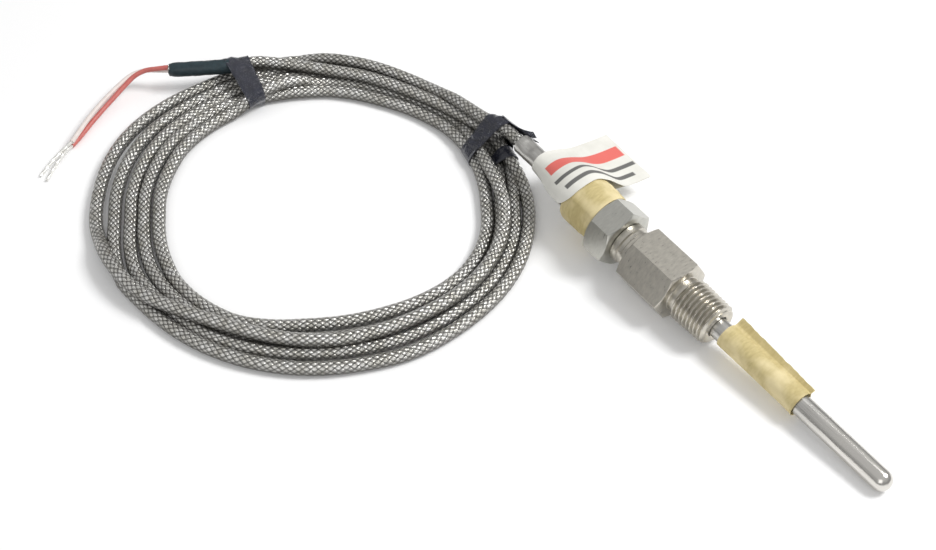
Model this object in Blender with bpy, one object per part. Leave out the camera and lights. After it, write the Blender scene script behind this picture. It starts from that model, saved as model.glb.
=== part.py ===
"""Sheathed thermocouple probe with a compression fitting and a coiled, metal-braided lead.

The probe lies on a surface with its tip and the front edge of a wrench flat touching it.
Metres, +Z up, +X towards the tip. The origin is under the middle of the rigid probe.
Stations are distances from the tip, measured back along the probe's axis.
Angles about the axis start level on the -Y side and rise over the top.
"""

import math

import bmesh
import bpy
from mathutils import Matrix, Vector

MM = 0.001

# Clearances
seat_gap = 0.30 * MM
slip_gap = 0.15 * MM
shrink_gap = 0.12 * MM
wire_gap = 0.20 * MM

# Protective tube
tube_length = 153.0 * MM
tube_radius = 3.175 * MM
tube_wall = 0.89 * MM
dent_from_rear = 4.3 * MM
dent_length = 6.0 * MM
dent_depth = 0.8 * MM
dent_angle = math.radians(66)
dent_spread = math.radians(55)

# Thermoelements, junction and insulators
element_radius = 0.25 * MM
element_offset = 0.85 * MM
junction_station = 3.4 * MM
junction_size = (0.8 * MM, 1.25 * MM, 0.8 * MM)
bead_count = 5
first_bead_station = 8.0 * MM
splice_room = 1.6 * MM
plug_length = 9.2 * MM

# Fitting body
stickout = 65.0 * MM
thread_pitch = 25.4 / 18 * MM
thread_turns = 9
thread_small_radius = 6.65 * MM
thread_depth = 0.95 * MM
thread_taper = 1 / 32
thread_lead_in = 0.2 * MM
thread_crest = (0.44, 0.56)
relief_length = 2.1 * MM
relief_radius = 5.9 * MM
half_flats = 8.73 * MM
body_hex_length = 18.0 * MM
hex_chamfer = 0.8 * MM
chamfer_start = 8.65 * MM
waist_length = 6.2 * MM
waist_radius = 6.5 * MM
waist_groove_depth = 0.45 * MM
waist_groove_slope = 0.4 * MM
spigot_length = 4.4 * MM
spigot_radius = 5.6 * MM
seat_depth = 2.6 * MM
seat_mouth_radius = 4.75 * MM

# Gland nut and its ferrules
nut_turn = math.radians(-18)
nut_hex_length = 8.8 * MM
hub_length = 9.4 * MM
hub_radius = 7.2 * MM
hub_round = 0.5 * MM
front_ferrule_length = 3.4 * MM
ferrule_radius = 5.0 * MM
ferrule_nose = 0.35 * MM
ferrule_cone_share = 0.6
back_ferrule_length = 1.3 * MM

# Masking tape on the hub and on the tube
neck_tape_length = 12.1 * MM
neck_tape_thickness = 0.45 * MM
neck_tape_shift = (0.55 * MM, 0.35 * MM)
neck_tape_slack = 0.70 * MM
rod_tape_station = 32.5 * MM
rod_tape_length = 29.0 * MM
rod_tape_thickness = 0.25 * MM
rod_tape_fin = (5.5 * MM, 6.7 * MM)
rod_tape_fin_wall = 0.9 * MM
rod_tape_fin_angle = math.radians(146)

# Paper label, folded round the tube and over the end of the neck tape
paper_thickness = 0.15 * MM
label_width = 18.0 * MM
label_flat_share = 0.16
# Angle about the axis, height above the neck tape, distance behind its rear edge
label_front_edge = [
    (190, 18.9, -3.6), (190, 12.4, -3.5), (187, 7.7, -3.8), (176.5, 4.3, -3.6), (157, 1.85, -3.6),
    (134.6, 1.0, -3.7), (112, 0.9, -3.2), (91, 0.75, -3.2), (67, 0.6, -3.0), (43, 0.3, -2.3),
    (22.5, 0.05, -0.6), (16, -0.1, 0.4), (2.5, -2.0, 0.4), (-26.6, -3.2, 0.6),
    (-72.6, -3.97, 0.6), (-123, -2.56, 0.6), (-151.6, 0.66, 0.4), (-165.9, 3.68, -1.8),
    (-171.6, 7.78, -3.4), (-169.3, 12.5, -3.4), (-169.5, 19.0, -3.5),
]
# Angle about the axis and height above the tube
label_rear_edge = [
    (189.5, 24.7), (189.4, 18.3), (188.4, 13.5), (186.1, 9.1), (177.3, 5.45), (161.3, 2.75),
    (135, 1.05), (105, 0.66), (71, 0.53), (41.6, 0.44), (16.4, 0.38), (-3.1, 0.48), (-21.8, 0.6),
    (-49.4, 0.52), (-83.8, 0.55), (-121.6, 1.41), (-152, 3.85), (-167.9, 8.07),
    (-170, 13.58), (-169.4, 18.4), (-169.6, 24.75),
]

# Braided lead, in a frame on the surface below the tip: X, Y and Z in millimetres
lead_radius = 2.035 * MM
lead_start_route = [
    (-153.3, 0.0, 13.98), (-157.6, 0.9, 14.0), (-163.0, 2.7, 13.0), (-169.5, 4.2, 11.7),
    (-176.0, 4.7, 10.95), (-183.0, 4.6, 10.75),
]
lead_end_route = [
    (-224.0, -7.6, 10.85), (-233.4, -15.0, 10.95), (-240.4, -24.9, 10.95), (-244.7, -36.1, 10.7),
    (-246.1, -43.5, 10.4), (-247.5, -50.8, 10.0), (-252.5, -58.6, 9.1), (-258.4, -66.3, 8.0),
]
sleeve_start_share = 0.75
lead_end_share = 0.90
sleeve_wall = 0.30 * MM

# Coil of the lead: angle, inner radius, outer radius and top, the radii to the strands' centres
coil_centre = (-180.4 * MM, -59.5 * MM)
coil_sections = [
    (0, 52.3, 66.4, 7.4), (30, 55.0, 67.2, 8.0), (60, 53.6, 65.7, 8.1), (90, 54.2, 64.4, 8.1),
    (120, 52.8, 65.2, 8.2), (150, 53.6, 69.0, 8.0), (180, 51.6, 68.2, 6.0), (210, 50.3, 70.1, 5.4),
    (240, 48.5, 66.8, 6.2), (270, 50.6, 62.7, 8.1), (300, 51.2, 63.4, 8.1), (330, 49.2, 65.0, 6.6),
]

# Ties round the coil
tie_width = 7.5 * MM
tie_thickness = 0.35 * MM
tie_floor_gap = 0.05 * MM
left_tie_angle = math.radians(168.5)
right_tie_angle = math.radians(76)
tail_length = 11.0 * MM
tail_thickness = 0.6 * MM
tail_height = 3.0 * MM
tail_root = 2.4 * MM
left_tail_level = 4.0 * MM
right_tail_level = 12.4 * MM
left_tail_heading = math.radians(-12)
right_tail_heading = math.radians(-164)

# Insulated wires and their stripped ends
wire_radius = 0.80 * MM
bare_radius = 0.40 * MM
wire_spacing = 0.88 * MM
wire_twist = (math.radians(80), math.radians(-100))
wire_route = [
    (-257.7, -65.4, 8.1), (-260.2, -68.4, 7.7), (-263.2, -71.6, 6.9), (-264.6, -75.6, 5.9),
    (-263.7, -80.4, 4.9), (-262.1, -85.5, 3.9), (-260.1, -90.7, 3.1), (-257.2, -96.6, 2.5),
    (-253.9, -102.2, 2.1), (-251.6, -106.2, 1.95),
]
red_bare_route = [(-248.9, -110.9, 1.6), (-245.8, -115.6, 1.2), (-242.7, -120.0, 0.6)]
white_bare_route = [(-250.3, -111.4, 1.6), (-248.2, -116.0, 1.2), (-245.8, -120.6, 0.6)]

# Resolution
round_sides = 36
small_sides = 12
coil_steps = 54

# Stations and radii that follow from the sizes above
tube_bore = tube_radius - tube_wall
pass_radius = tube_radius + seat_gap
thread_rear = stickout + thread_lead_in + thread_turns * thread_pitch
body_front = thread_rear + relief_length
body_rear = body_front + body_hex_length
nut_front = body_rear + waist_length
nut_rear = nut_front + nut_hex_length
hub_rear = nut_rear + hub_length
neck_tape_front = nut_rear + seat_gap
neck_tape_rear = neck_tape_front + neck_tape_length
neck_tape_radius = hub_radius + neck_tape_slack + seat_gap + neck_tape_thickness
label_rear = neck_tape_rear + label_width
spigot_rear = nut_front + spigot_length
plug_front = tube_length - plug_length
dent_station = tube_length - dent_from_rear
bead_row = plug_front - splice_room - first_bead_station
bead_length = (bead_row + seat_gap) / bead_count - seat_gap
coil_lift = tie_floor_gap + tie_thickness + seat_gap

materials = {}


def clear_scene():
    for thing in list(bpy.data.objects):
        bpy.data.objects.remove(thing)


def finish(name, colour, roughness, metallic=0.0):
    material = bpy.data.materials.new(name)
    material.use_nodes = True
    shader = material.node_tree.nodes["Principled BSDF"]
    shader.inputs["Base Color"].default_value = (*colour, 1.0)
    shader.inputs["Roughness"].default_value = roughness
    shader.inputs["Metallic"].default_value = metallic
    materials[name] = material


def make_materials():
    finish("polished_steel", (0.62, 0.61, 0.58), 0.25, 1.0)
    finish("satin_steel", (0.48, 0.47, 0.44), 0.40, 1.0)
    finish("ferrule_steel", (0.55, 0.55, 0.53), 0.30, 1.0)
    finish("ceramic", (0.85, 0.83, 0.76), 0.60)
    finish("potting", (0.45, 0.32, 0.18), 0.60)
    finish("thermoelement", (0.50, 0.48, 0.44), 0.35, 1.0)
    finish("masking_tape", (0.72, 0.62, 0.36), 0.75)
    finish("paper", (0.80, 0.80, 0.76), 0.85)
    finish("braid", (0.42, 0.42, 0.38), 0.35, 1.0)
    finish("shrink_sleeve", (0.03, 0.05, 0.06), 0.45)
    finish("tie_film", (0.012, 0.014, 0.035), 0.30)
    finish("red_insulation", (0.55, 0.16, 0.13), 0.50)
    finish("white_insulation", (0.82, 0.76, 0.72), 0.50)


def empty(name, parent=None):
    thing = bpy.data.objects.new(name, None)
    bpy.context.scene.collection.objects.link(thing)
    thing.parent = parent
    return thing


def place(thing, material, parent):
    thing.data.materials.append(materials[material])
    thing.parent = parent
    bpy.context.scene.collection.objects.link(thing)
    return thing


def solid(name, bm, material, parent, sharp=30):
    bmesh.ops.recalc_face_normals(bm, faces=bm.faces)
    mesh = bpy.data.meshes.new(name)
    bm.to_mesh(mesh)
    bm.free()
    mesh.shade_smooth()
    mesh.set_sharp_from_angle(angle=math.radians(sharp))
    return place(bpy.data.objects.new(name, mesh), material, parent)


def bridge(bm, first, second):
    count = len(first)
    for i in range(count):
        j = (i + 1) % count
        bm.faces.new((first[i], first[j], second[j], second[i]))


def loft(rings, through, poles=None):
    """A closed solid through rings of points: a bored one if through, else closed at both ends.

    The ends are flat, or come to a pole each.
    """
    bm = bmesh.new()
    loops = [[bm.verts.new(point) for point in ring] for ring in rings]
    for first, second in zip(loops, loops[1:]):
        bridge(bm, first, second)
    if through:
        bridge(bm, loops[-1], loops[0])
    elif poles:
        fan(bm, loops[0], poles[0])
        fan(bm, loops[-1], poles[1])
    else:
        bm.faces.new(loops[0])
        bm.faces.new(loops[-1])
    return bm


def fan(bm, loop, pole):
    middle = bm.verts.new(pole)
    for i in range(len(loop)):
        bm.faces.new((loop[i - 1], loop[i], middle))


def about_axis(station, angle, radius):
    return Vector((tube_radius - station, -radius * math.cos(angle), radius * math.sin(angle)))


def ring(station, radius, start=0.0, sides=round_sides, shift=(0.0, 0.0)):
    """Points round the probe's axis. The radius is a number or a function of the angle."""
    points = []
    for i in range(sides):
        angle = start + math.tau * i / sides
        size = radius(angle) if callable(radius) else radius
        points.append(about_axis(station, angle, size) + Vector((0.0, *shift)))
    return points


def hexagon(cap, start=0.0):
    """Radius of a hexagon with corners from the start angle on, cut off at the cap's radius."""
    def radius(angle):
        off_corner = (angle - start) % (math.pi / 3)
        return min(cap, half_flats / math.cos(off_corner - math.pi / 6))
    return radius


def hex_rings(front, length, start=0.0):
    """Rings of a hexagon whose corners are chamfered at both ends."""
    corner = half_flats / math.cos(math.pi / 6)
    steps = 3
    rings = []
    for i in range(steps + 1):
        share = i / steps
        cap = chamfer_start + (corner + slip_gap - chamfer_start) * share
        rings.append(ring(front + hex_chamfer * share, hexagon(cap, start), start))
    for i in range(steps, -1, -1):
        share = i / steps
        cap = chamfer_start + (corner + slip_gap - chamfer_start) * share
        rings.append(ring(front + length - hex_chamfer * share, hexagon(cap, start), start))
    return rings


def dent(point, station):
    """Move a point inwards where the tube is crimped on to its plug."""
    along = abs(station - dent_station) / (dent_length / 2)
    angle = math.atan2(point.z, -point.y)
    round_it = abs(angle - dent_angle) / dent_spread
    if along >= 1 or round_it >= 1:
        return point
    depth = dent_depth * math.cos(along * math.pi / 2) ** 2 * math.cos(round_it * math.pi / 2) ** 2
    inward = Vector((0.0, -point.y, -point.z)).normalized()
    return point + inward * depth


def dented_ring(station, radius):
    return [dent(point, station) for point in ring(station, radius)]


def dent_stations(first, last):
    """Stations between two limits, close together over the crimp."""
    steps = 8
    start = dent_station - dent_length / 2
    inner = [start + dent_length * i / steps for i in range(steps + 1)]
    return [first] + [s for s in inner if first < s < last] + [last]


def make_sheath(axis):
    """The closed tube: rounded tip outside and inside, open at the rear."""
    steps = 8
    rings = []
    for i in range(1, steps + 1):
        turn = math.pi / 2 * i / steps
        rings.append(ring(tube_radius * (1 - math.cos(turn)), tube_radius * math.sin(turn)))
    body = dent_stations(tube_length * 0.5, tube_length)
    rings += [dented_ring(station, tube_radius) for station in body]
    rings += [dented_ring(station, tube_bore) for station in reversed(body)]
    for i in range(steps, 0, -1):
        turn = math.pi / 2 * i / steps
        rings.append(ring(tube_radius - tube_bore * math.cos(turn), tube_bore * math.sin(turn)))
    poles = (about_axis(0.0, 0.0, 0.0), about_axis(tube_wall, 0.0, 0.0))
    return solid("sheath_tube", loft(rings, False, poles), "polished_steel", axis)


def make_elements(axis):
    """Two bare wires from the junction to the plug, through the insulators."""
    front = junction_station + junction_size[0] + seat_gap
    rear = plug_front - seat_gap
    for name, side in (("positive_element", 1), ("negative_element", -1)):
        start = Vector((tube_radius - front, side * element_offset, 0.0))
        end = Vector((tube_radius - rear, side * element_offset, 0.0))
        tube_curve(name, [start, end], element_radius, "thermoelement", axis, 2)


def make_junction(axis):
    bm = bmesh.new()
    bmesh.ops.create_uvsphere(bm, u_segments=small_sides, v_segments=small_sides // 2, radius=1.0)
    centre = about_axis(junction_station, 0.0, 0.0)
    bmesh.ops.transform(bm, matrix=Matrix.Translation(centre) @ Matrix.Diagonal((*junction_size, 1.0)),
                        verts=bm.verts)
    return solid("junction_bead", bm, "thermoelement", axis, 180)


def circle_edges(bm, radius, centre_y, sides):
    points = []
    for i in range(sides):
        turn = math.tau * i / sides
        points.append(bm.verts.new((0.0, centre_y + radius * math.cos(turn), radius * math.sin(turn))))
    return [bm.edges.new((points[i], points[(i + 1) % sides])) for i in range(sides)]


def make_insulators(axis):
    """A row of ceramic beads, each with a hole for either wire."""
    bm = bmesh.new()
    edges = circle_edges(bm, tube_bore - wire_gap, 0.0, 2 * small_sides)
    for side in (1, -1):
        edges += circle_edges(bm, element_radius + wire_gap, side * element_offset, small_sides)
    bmesh.ops.triangle_fill(bm, edges=edges, use_beauty=True)
    extruded = bmesh.ops.extrude_face_region(bm, geom=list(bm.faces))
    moved = [item for item in extruded["geom"] if isinstance(item, bmesh.types.BMVert)]
    bmesh.ops.translate(bm, verts=moved, vec=(-bead_length, 0.0, 0.0))
    first = solid("insulator_1", bm, "ceramic", axis)
    first.location.x = tube_radius - first_bead_station
    for i in range(1, bead_count):
        bead = bpy.data.objects.new(f"insulator_{i + 1}", first.data)
        bead.parent = axis
        bead.location.x = first.location.x - i * (bead_length + seat_gap)
        bpy.context.scene.collection.objects.link(bead)


def make_plug(axis):
    """The potted splice between thermoelements and lead, crimped in with the tube."""
    radius = tube_bore - slip_gap
    rings = [dented_ring(station, radius) for station in dent_stations(plug_front, tube_length)]
    return solid("potting_plug", loft(rings, False), "potting", axis)


def thread_rings():
    """Ridges of the taper thread, largest at the rear."""
    rings = []
    start = stickout + thread_lead_in
    for i in range(thread_turns):
        for share, depth in ((0.0, thread_depth), (thread_crest[0], 0.0), (thread_crest[1], 0.0)):
            station = start + (i + share) * thread_pitch
            crest = thread_small_radius + (station - stickout) * thread_taper
            rings.append(ring(station, crest - depth))
    return rings


def make_body(axis):
    """Taper thread, wrench flats, waist and spigot, bored right through for the tube."""
    groove = waist_radius - waist_groove_depth
    groove_front = body_rear + waist_length / 3
    groove_rear = body_rear + waist_length * 2 / 3
    rings = [ring(stickout, thread_small_radius - thread_depth - thread_lead_in / 2)]
    rings += thread_rings()
    rings += [ring(thread_rear, relief_radius), ring(body_front, relief_radius)]
    rings += hex_rings(body_front, body_hex_length)
    rings += [ring(body_rear, waist_radius), ring(groove_front, waist_radius)]
    rings += [ring(groove_front + waist_groove_slope, groove), ring(groove_rear, groove)]
    rings += [ring(groove_rear + waist_groove_slope, waist_radius)]
    rings += [ring(nut_front - seat_gap, waist_radius), ring(nut_front - seat_gap, spigot_radius)]
    rings += [ring(spigot_rear, spigot_radius), ring(spigot_rear, seat_mouth_radius)]
    rings += [ring(spigot_rear - seat_depth, pass_radius), ring(stickout, pass_radius)]
    return solid("fitting_body", loft(rings, True), "satin_steel", axis)


def ferrule_stations():
    """Front and rear of the front ferrule, then of the back ferrule."""
    nose = spigot_rear - seat_depth / 2
    front_rear = nose + front_ferrule_length
    back_front = front_rear + seat_gap
    return nose, front_rear, back_front, back_front + back_ferrule_length


def make_nut(axis):
    """Hexagon and round hub over the spigot and the ferrules, closed in on the tube behind them."""
    pocket = spigot_radius + seat_gap
    pocket_rear = ferrule_stations()[3] + seat_gap
    rings = [ring(nut_front, pocket, nut_turn)]
    rings += hex_rings(nut_front, nut_hex_length, nut_turn)
    rings += [ring(nut_rear, hub_radius, nut_turn), ring(hub_rear - hub_round, hub_radius, nut_turn)]
    rings += [ring(hub_rear, hub_radius - hub_round, nut_turn), ring(hub_rear, pass_radius, nut_turn)]
    rings += [ring(pocket_rear, pass_radius, nut_turn), ring(pocket_rear, pocket, nut_turn)]
    return solid("gland_nut", loft(rings, True), "satin_steel", axis)


def make_ferrules(axis):
    """A long cone that seats in the spigot, and the short ring behind it."""
    nose, front_rear, back_front, back_rear = ferrule_stations()
    lip = pass_radius + ferrule_nose
    shoulder = spigot_rear + (front_rear - spigot_rear) * ferrule_cone_share
    rings = [ring(nose, pass_radius), ring(nose, lip), ring(spigot_rear, lip + ferrule_nose)]
    rings += [ring(shoulder, ferrule_radius), ring(front_rear, ferrule_radius), ring(front_rear, pass_radius)]
    solid("front_ferrule", loft(rings, True), "ferrule_steel", axis)
    rings = [ring(back_front, pass_radius), ring(back_front, ferrule_radius)]
    rings += [ring(back_rear, ferrule_radius), ring(back_rear, pass_radius)]
    solid("back_ferrule", loft(rings, True), "ferrule_steel", axis)


def make_neck_tape(axis):
    """Masking tape wound round the hub, a little high and away from it."""
    inner = neck_tape_radius - neck_tape_thickness
    ends = ((neck_tape_front, inner), (neck_tape_front, neck_tape_radius),
            (neck_tape_rear, neck_tape_radius), (neck_tape_rear, inner))
    rings = [ring(station, radius, shift=neck_tape_shift) for station, radius in ends]
    return solid("neck_tape", loft(rings, True), "masking_tape", axis)


def teardrop(radius, reach):
    """Radius of a circle drawn out to a point at the fin's angle."""
    def size(angle):
        off = abs((angle - rod_tape_fin_angle + math.pi) % math.tau - math.pi)
        tangent = math.acos(radius / reach)
        if off >= tangent:
            return radius
        return radius / math.cos(tangent - off)
    return size


def make_rod_tape(axis):
    """Masking tape looped round the tube, with its two ends standing up as a fin."""
    inner = pass_radius
    outer = inner + rod_tape_thickness
    steps = 4
    skins = []
    for radius, trim in ((outer, 0.0), (inner, rod_tape_fin_wall)):
        skin = []
        for i in range(steps + 1):
            share = i / steps
            reach = rod_tape_fin[0] + (rod_tape_fin[1] - rod_tape_fin[0]) * share - trim
            station = rod_tape_station + rod_tape_length * share
            skin.append(ring(station, teardrop(radius, reach), rod_tape_fin_angle))
        skins.append(skin)
    rings = skins[0] + skins[1][::-1]
    return solid("rod_tape", loft(rings, True), "masking_tape", axis)


def curve_point(points, place_on, closed=False):
    """A point on a smooth curve through the given points. Whole numbers are the points themselves."""
    count = len(points)
    i = int(math.floor(place_on))
    if not closed:
        i = min(max(i, 0), count - 2)
    share = place_on - i
    if closed:
        a, b, c, d = (points[(i + k) % count] for k in (-1, 0, 1, 2))
    else:
        b, c = points[i], points[i + 1]
        a = points[i - 1] if i > 0 else b * 2 - c
        d = points[i + 2] if i + 2 < count else c * 2 - b
    bent = (a * -1 + c) * share
    bent += (a * 2 - b * 5 + c * 4 - d) * share ** 2
    bent += (a * -1 + b * 3 - c * 3 + d) * share ** 3
    return b + bent * 0.5


def smooth_path(points, per_span):
    """Evenly parametered points on the smooth curve through an open route."""
    spans = len(points) - 1
    total = spans * per_span
    return [curve_point(points, i / per_span) for i in range(total + 1)]


def cut_path(path, first, last):
    """The part of a path between two shares of its length, with points where it is cut."""
    lengths = [0.0]
    for a, b in zip(path, path[1:]):
        lengths.append(lengths[-1] + (b - a).length)
    low = lengths[-1] * first
    high = lengths[-1] * last
    kept = [point_at(path, lengths, low)]
    kept += [p for p, s in zip(path, lengths) if low + slip_gap < s < high - slip_gap]
    kept.append(point_at(path, lengths, high))
    return kept


def point_at(path, lengths, distance):
    for i in range(len(path) - 1):
        if distance <= lengths[i + 1]:
            share = (distance - lengths[i]) / (lengths[i + 1] - lengths[i])
            return path[i].lerp(path[i + 1], share)
    return path[-1].copy()


def tube_curve(name, points, radius, material, parent, resolution=3):
    """A cord or a wire: a curve through the points with a round section and closed ends."""
    curve = bpy.data.curves.new(name, "CURVE")
    curve.dimensions = "3D"
    curve.bevel_depth = radius
    curve.bevel_resolution = resolution
    curve.use_fill_caps = True
    spline = curve.splines.new("POLY")
    spline.points.add(len(points) - 1)
    for spot, point in zip(spline.points, points):
        spot.co = (*point, 1.0)
    return place(bpy.data.objects.new(name, curve), material, parent)


def strip(rows, thickness):
    """A closed solid of even thickness on a grid of points, made from rows of equal length."""
    bm = bmesh.new()
    skins = []
    normals = grid_normals(rows)
    for side in (0.5, -0.5):
        skin = []
        for row, row_normals in zip(rows, normals):
            skin.append([bm.verts.new(p + n * thickness * side) for p, n in zip(row, row_normals)])
        skins.append(skin)
    for skin in skins:
        for upper, lower in zip(skin, skin[1:]):
            for i in range(len(upper) - 1):
                bm.faces.new((upper[i], upper[i + 1], lower[i + 1], lower[i]))
    borders = [border(skin) for skin in skins]
    bridge(bm, borders[0], borders[1])
    return bm


def border(skin):
    """The vertices round the edge of a grid, in order."""
    last = [row[-1] for row in skin[1:-1]]
    first = [row[0] for row in skin[1:-1]]
    return skin[0] + last + skin[-1][::-1] + first[::-1]


def grid_normals(rows):
    result = []
    for r, row in enumerate(rows):
        line = []
        for c, _ in enumerate(row):
            along = row[min(c + 1, len(row) - 1)] - row[max(c - 1, 0)]
            across = rows[min(r + 1, len(rows) - 1)][c] - rows[max(r - 1, 0)][c]
            line.append(along.cross(across).normalized())
        result.append(line)
    return result


def make_label(axis):
    """A paper strip folded round the tube. Its two ends lie together as a flag behind the probe."""
    front = []
    for angle, height, behind in label_front_edge:
        station = neck_tape_rear + behind * MM
        front.append(about_axis(station, math.radians(angle), neck_tape_radius + height * MM))
    rear = []
    for angle, height in label_rear_edge:
        rear.append(about_axis(label_rear, math.radians(angle), tube_radius + height * MM))
    front = smooth_path(front, 2)
    rear = smooth_path(rear, 2)
    steps = 6
    rows = []
    for i in range(steps + 1):
        share = i / steps
        eased = max(0.0, (share - label_flat_share) / (1 - label_flat_share))
        eased = eased * eased * (3 - 2 * eased)
        row = []
        for a, b in zip(front, rear):
            point = a.lerp(b, eased)
            point.x = a.x + (b.x - a.x) * share
            row.append(point)
        rows.append(row)
    return solid("paper_label", strip(rows, paper_thickness), "paper", axis, 60)


def coil_section(angle):
    """Inner radius, outer radius and top of the coil at an angle, with the strands' thickness."""
    values = [Vector(section[1:]) for section in coil_sections]
    inner, outer, top = curve_point(values, angle / math.tau * len(values), closed=True) * MM
    return inner - lead_radius, outer + lead_radius, top


def round_rectangle(left, right, bottom, top, corner, per_corner=4):
    """Points of a rectangle with round corners, as pairs."""
    points = []
    corners = ((right, top, 0), (left, top, 1), (left, bottom, 2), (right, bottom, 3))
    for x, y, quarter in corners:
        centre_x = x - corner if x == right else x + corner
        centre_y = y - corner if y == top else y + corner
        for i in range(per_corner):
            turn = (quarter + i / (per_corner - 1)) * math.pi / 2
            points.append((centre_x + corner * math.cos(turn), centre_y + corner * math.sin(turn)))
    return points


def at_coil(angle, radius, height):
    return Vector((coil_centre[0] + radius * math.cos(angle), coil_centre[1] + radius * math.sin(angle), height))


def make_coil(base):
    """The outer shape of the coiled lead, as one ring."""
    rings = []
    for i in range(coil_steps):
        angle = math.tau * i / coil_steps
        inner, outer, top = coil_section(angle)
        outline = round_rectangle(inner, outer, coil_lift, top, lead_radius)
        rings.append([at_coil(angle, r, z) for r, z in outline])
    return solid("lead_coil", loft(rings, True), "braid", base, 50)


def in_metres(route):
    return [Vector(point) * MM for point in route]


def make_lead(base):
    """The lead between tube and coil, and from the coil into the sleeve."""
    start = smooth_path(in_metres(lead_start_route), 2)
    tube_curve("lead_start", start, lead_radius, "braid", base)
    end = smooth_path(in_metres(lead_end_route), 3)
    tube_curve("lead_end", cut_path(end, 0.0, lead_end_share), lead_radius, "braid", base)


def across(path, i):
    """Two directions square to a path at one of its points, the first one level."""
    before = path[max(i - 1, 0)]
    after = path[min(i + 1, len(path) - 1)]
    along = (after - before).normalized()
    level = Vector((-along.y, along.x, 0.0)).normalized()
    return level, along.cross(level)


def path_ring(path, i, radius):
    level, up = across(path, i)
    points = []
    for k in range(small_sides):
        turn = math.tau * k / small_sides
        points.append(path[i] + (level * math.cos(turn) + up * math.sin(turn)) * radius)
    return points


def make_sleeve(base):
    """Shrink sleeve over the end of the braid, open at both ends."""
    path = cut_path(smooth_path(in_metres(lead_end_route), 3), sleeve_start_share, 1.0)
    bore = lead_radius + shrink_gap
    rings = [path_ring(path, i, bore + sleeve_wall) for i in range(len(path))]
    rings += [path_ring(path, i, bore) for i in reversed(range(len(path)))]
    return solid("end_sleeve", loft(rings, True), "shrink_sleeve", base)


def make_wires(base):
    """Two insulated wires that twist half a turn about each other, with stripped ends."""
    middle = smooth_path(in_metres(wire_route), 2)
    count = len(middle)
    sides = (("red_wire", 1, "red_insulation", red_bare_route),
             ("white_wire", -1, "white_insulation", white_bare_route))
    for name, side, material, bare_route in sides:
        points = []
        for i, point in enumerate(middle):
            level, up = across(middle, i)
            turn = wire_twist[0] + (wire_twist[1] - wire_twist[0]) * i / (count - 1)
            points.append(point + (level * math.cos(turn) + up * math.sin(turn)) * wire_spacing * side)
        tube_curve(name, points, wire_radius, material, base, 2)
        along = (points[-1] - points[-2]).normalized()
        bare = [points[-1] + along * seat_gap] + in_metres(bare_route)
        tube_curve(name.replace("wire", "bare_end"), smooth_path(bare, 3), bare_radius,
                   "thermoelement", base, 2)


def arc(centre_x, centre_y, radius, turns):
    """Points at some angles, in degrees, on an arc in the coil's section."""
    points = []
    for turn in turns:
        angle = math.radians(turn)
        points.append(Vector((centre_x + radius * math.cos(angle), centre_y + radius * math.sin(angle), 0.0)))
    return points


def tie_outline(angle, strand):
    """Path of a tie in the coil's section: round the coil and over the strand that lies on it."""
    inner, outer, top = coil_section(angle)
    reach = lead_radius + seat_gap + tie_thickness / 2
    strand_radius = math.hypot(strand.x - coil_centre[0], strand.y - coil_centre[1])
    left = inner + lead_radius
    right = outer - lead_radius
    upper = top - lead_radius
    lower = coil_lift + lead_radius
    return (arc(left, upper, reach, (180, 135, 90)) + arc(strand_radius, strand.z, reach, (120, 75, 30))
            + arc(right, upper, reach, (30, 0)) + arc(right, lower, reach, (0, -45, -90))
            + arc(left, lower, reach, (-90, -135, -180)))


def tie_edge(angle, path):
    """The two faces of a tie at one of its edges, as loops of points in the coil's section."""
    outline = tie_outline(angle, nearest(path, angle))
    per_span = 3
    count = len(outline) * per_span
    loop = [curve_point(outline, i / per_span, closed=True) for i in range(count)]
    faces = ([], [])
    for i, spot in enumerate(loop):
        ahead = loop[(i + 1) % count] - loop[i - 1]
        outward = Vector((-ahead.y, ahead.x, 0.0)).normalized()
        for face, side in zip(faces, (-0.5, 0.5)):
            moved = spot + outward * tie_thickness * side
            face.append(at_coil(angle, moved.x, moved.y))
    return faces


def make_tie(name, angle, path, heading, level, base):
    """A band of film round the coil and the strand on it, with its loose end beside it."""
    radius = coil_section(angle)[1]
    half_angle = tie_width / 2 / radius
    first = tie_edge(angle - half_angle, path)
    second = tie_edge(angle + half_angle, path)
    rings = [list(corners) for corners in zip(first[0], first[1], second[1], second[0])]
    band = solid(name, loft(rings, True), "tie_film", base, 40)
    root_radius = max((point.xy - Vector(coil_centre)).length for point in first[1])
    tail = make_tail(name + "_tail", at_coil(angle, root_radius, level), angle + heading, base)
    join = band.modifiers.new("tail", "BOOLEAN")
    join.operation = "UNION"
    join.object = tail
    return band


def make_tail(name, root, heading, base):
    """A flat loose end that leaves the band beside the coil. It only shapes the band."""
    bm = bmesh.new()
    bmesh.ops.create_cube(bm, size=1.0)
    size = Matrix.Diagonal((tail_thickness, tail_length, tail_height, 1.0))
    shift = Matrix.Translation((0.0, tail_length / 2 - tail_root, 0.0))
    turn = Matrix.Rotation(heading, 4, "Z")
    bmesh.ops.transform(bm, matrix=Matrix.Translation(root) @ turn @ shift @ size, verts=bm.verts)
    tail = solid(name, bm, "tie_film", base)
    tail.hide_render = True
    tail.display_type = "WIRE"
    return tail


def make_ties(base):
    end = smooth_path(in_metres(lead_end_route), 6)
    start = smooth_path(in_metres(lead_start_route), 6)
    make_tie("coil_tie_left", left_tie_angle, end, left_tail_heading, left_tail_level, base)
    make_tie("coil_tie_right", right_tie_angle, start, right_tail_heading, right_tail_level, base)


def nearest(path, angle):
    """The point of a path at an angle about the coil."""
    def off(point):
        here = math.atan2(point.y - coil_centre[1], point.x - coil_centre[0])
        return abs((here - angle + math.pi) % math.tau - math.pi)
    return min(path, key=off)


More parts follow.
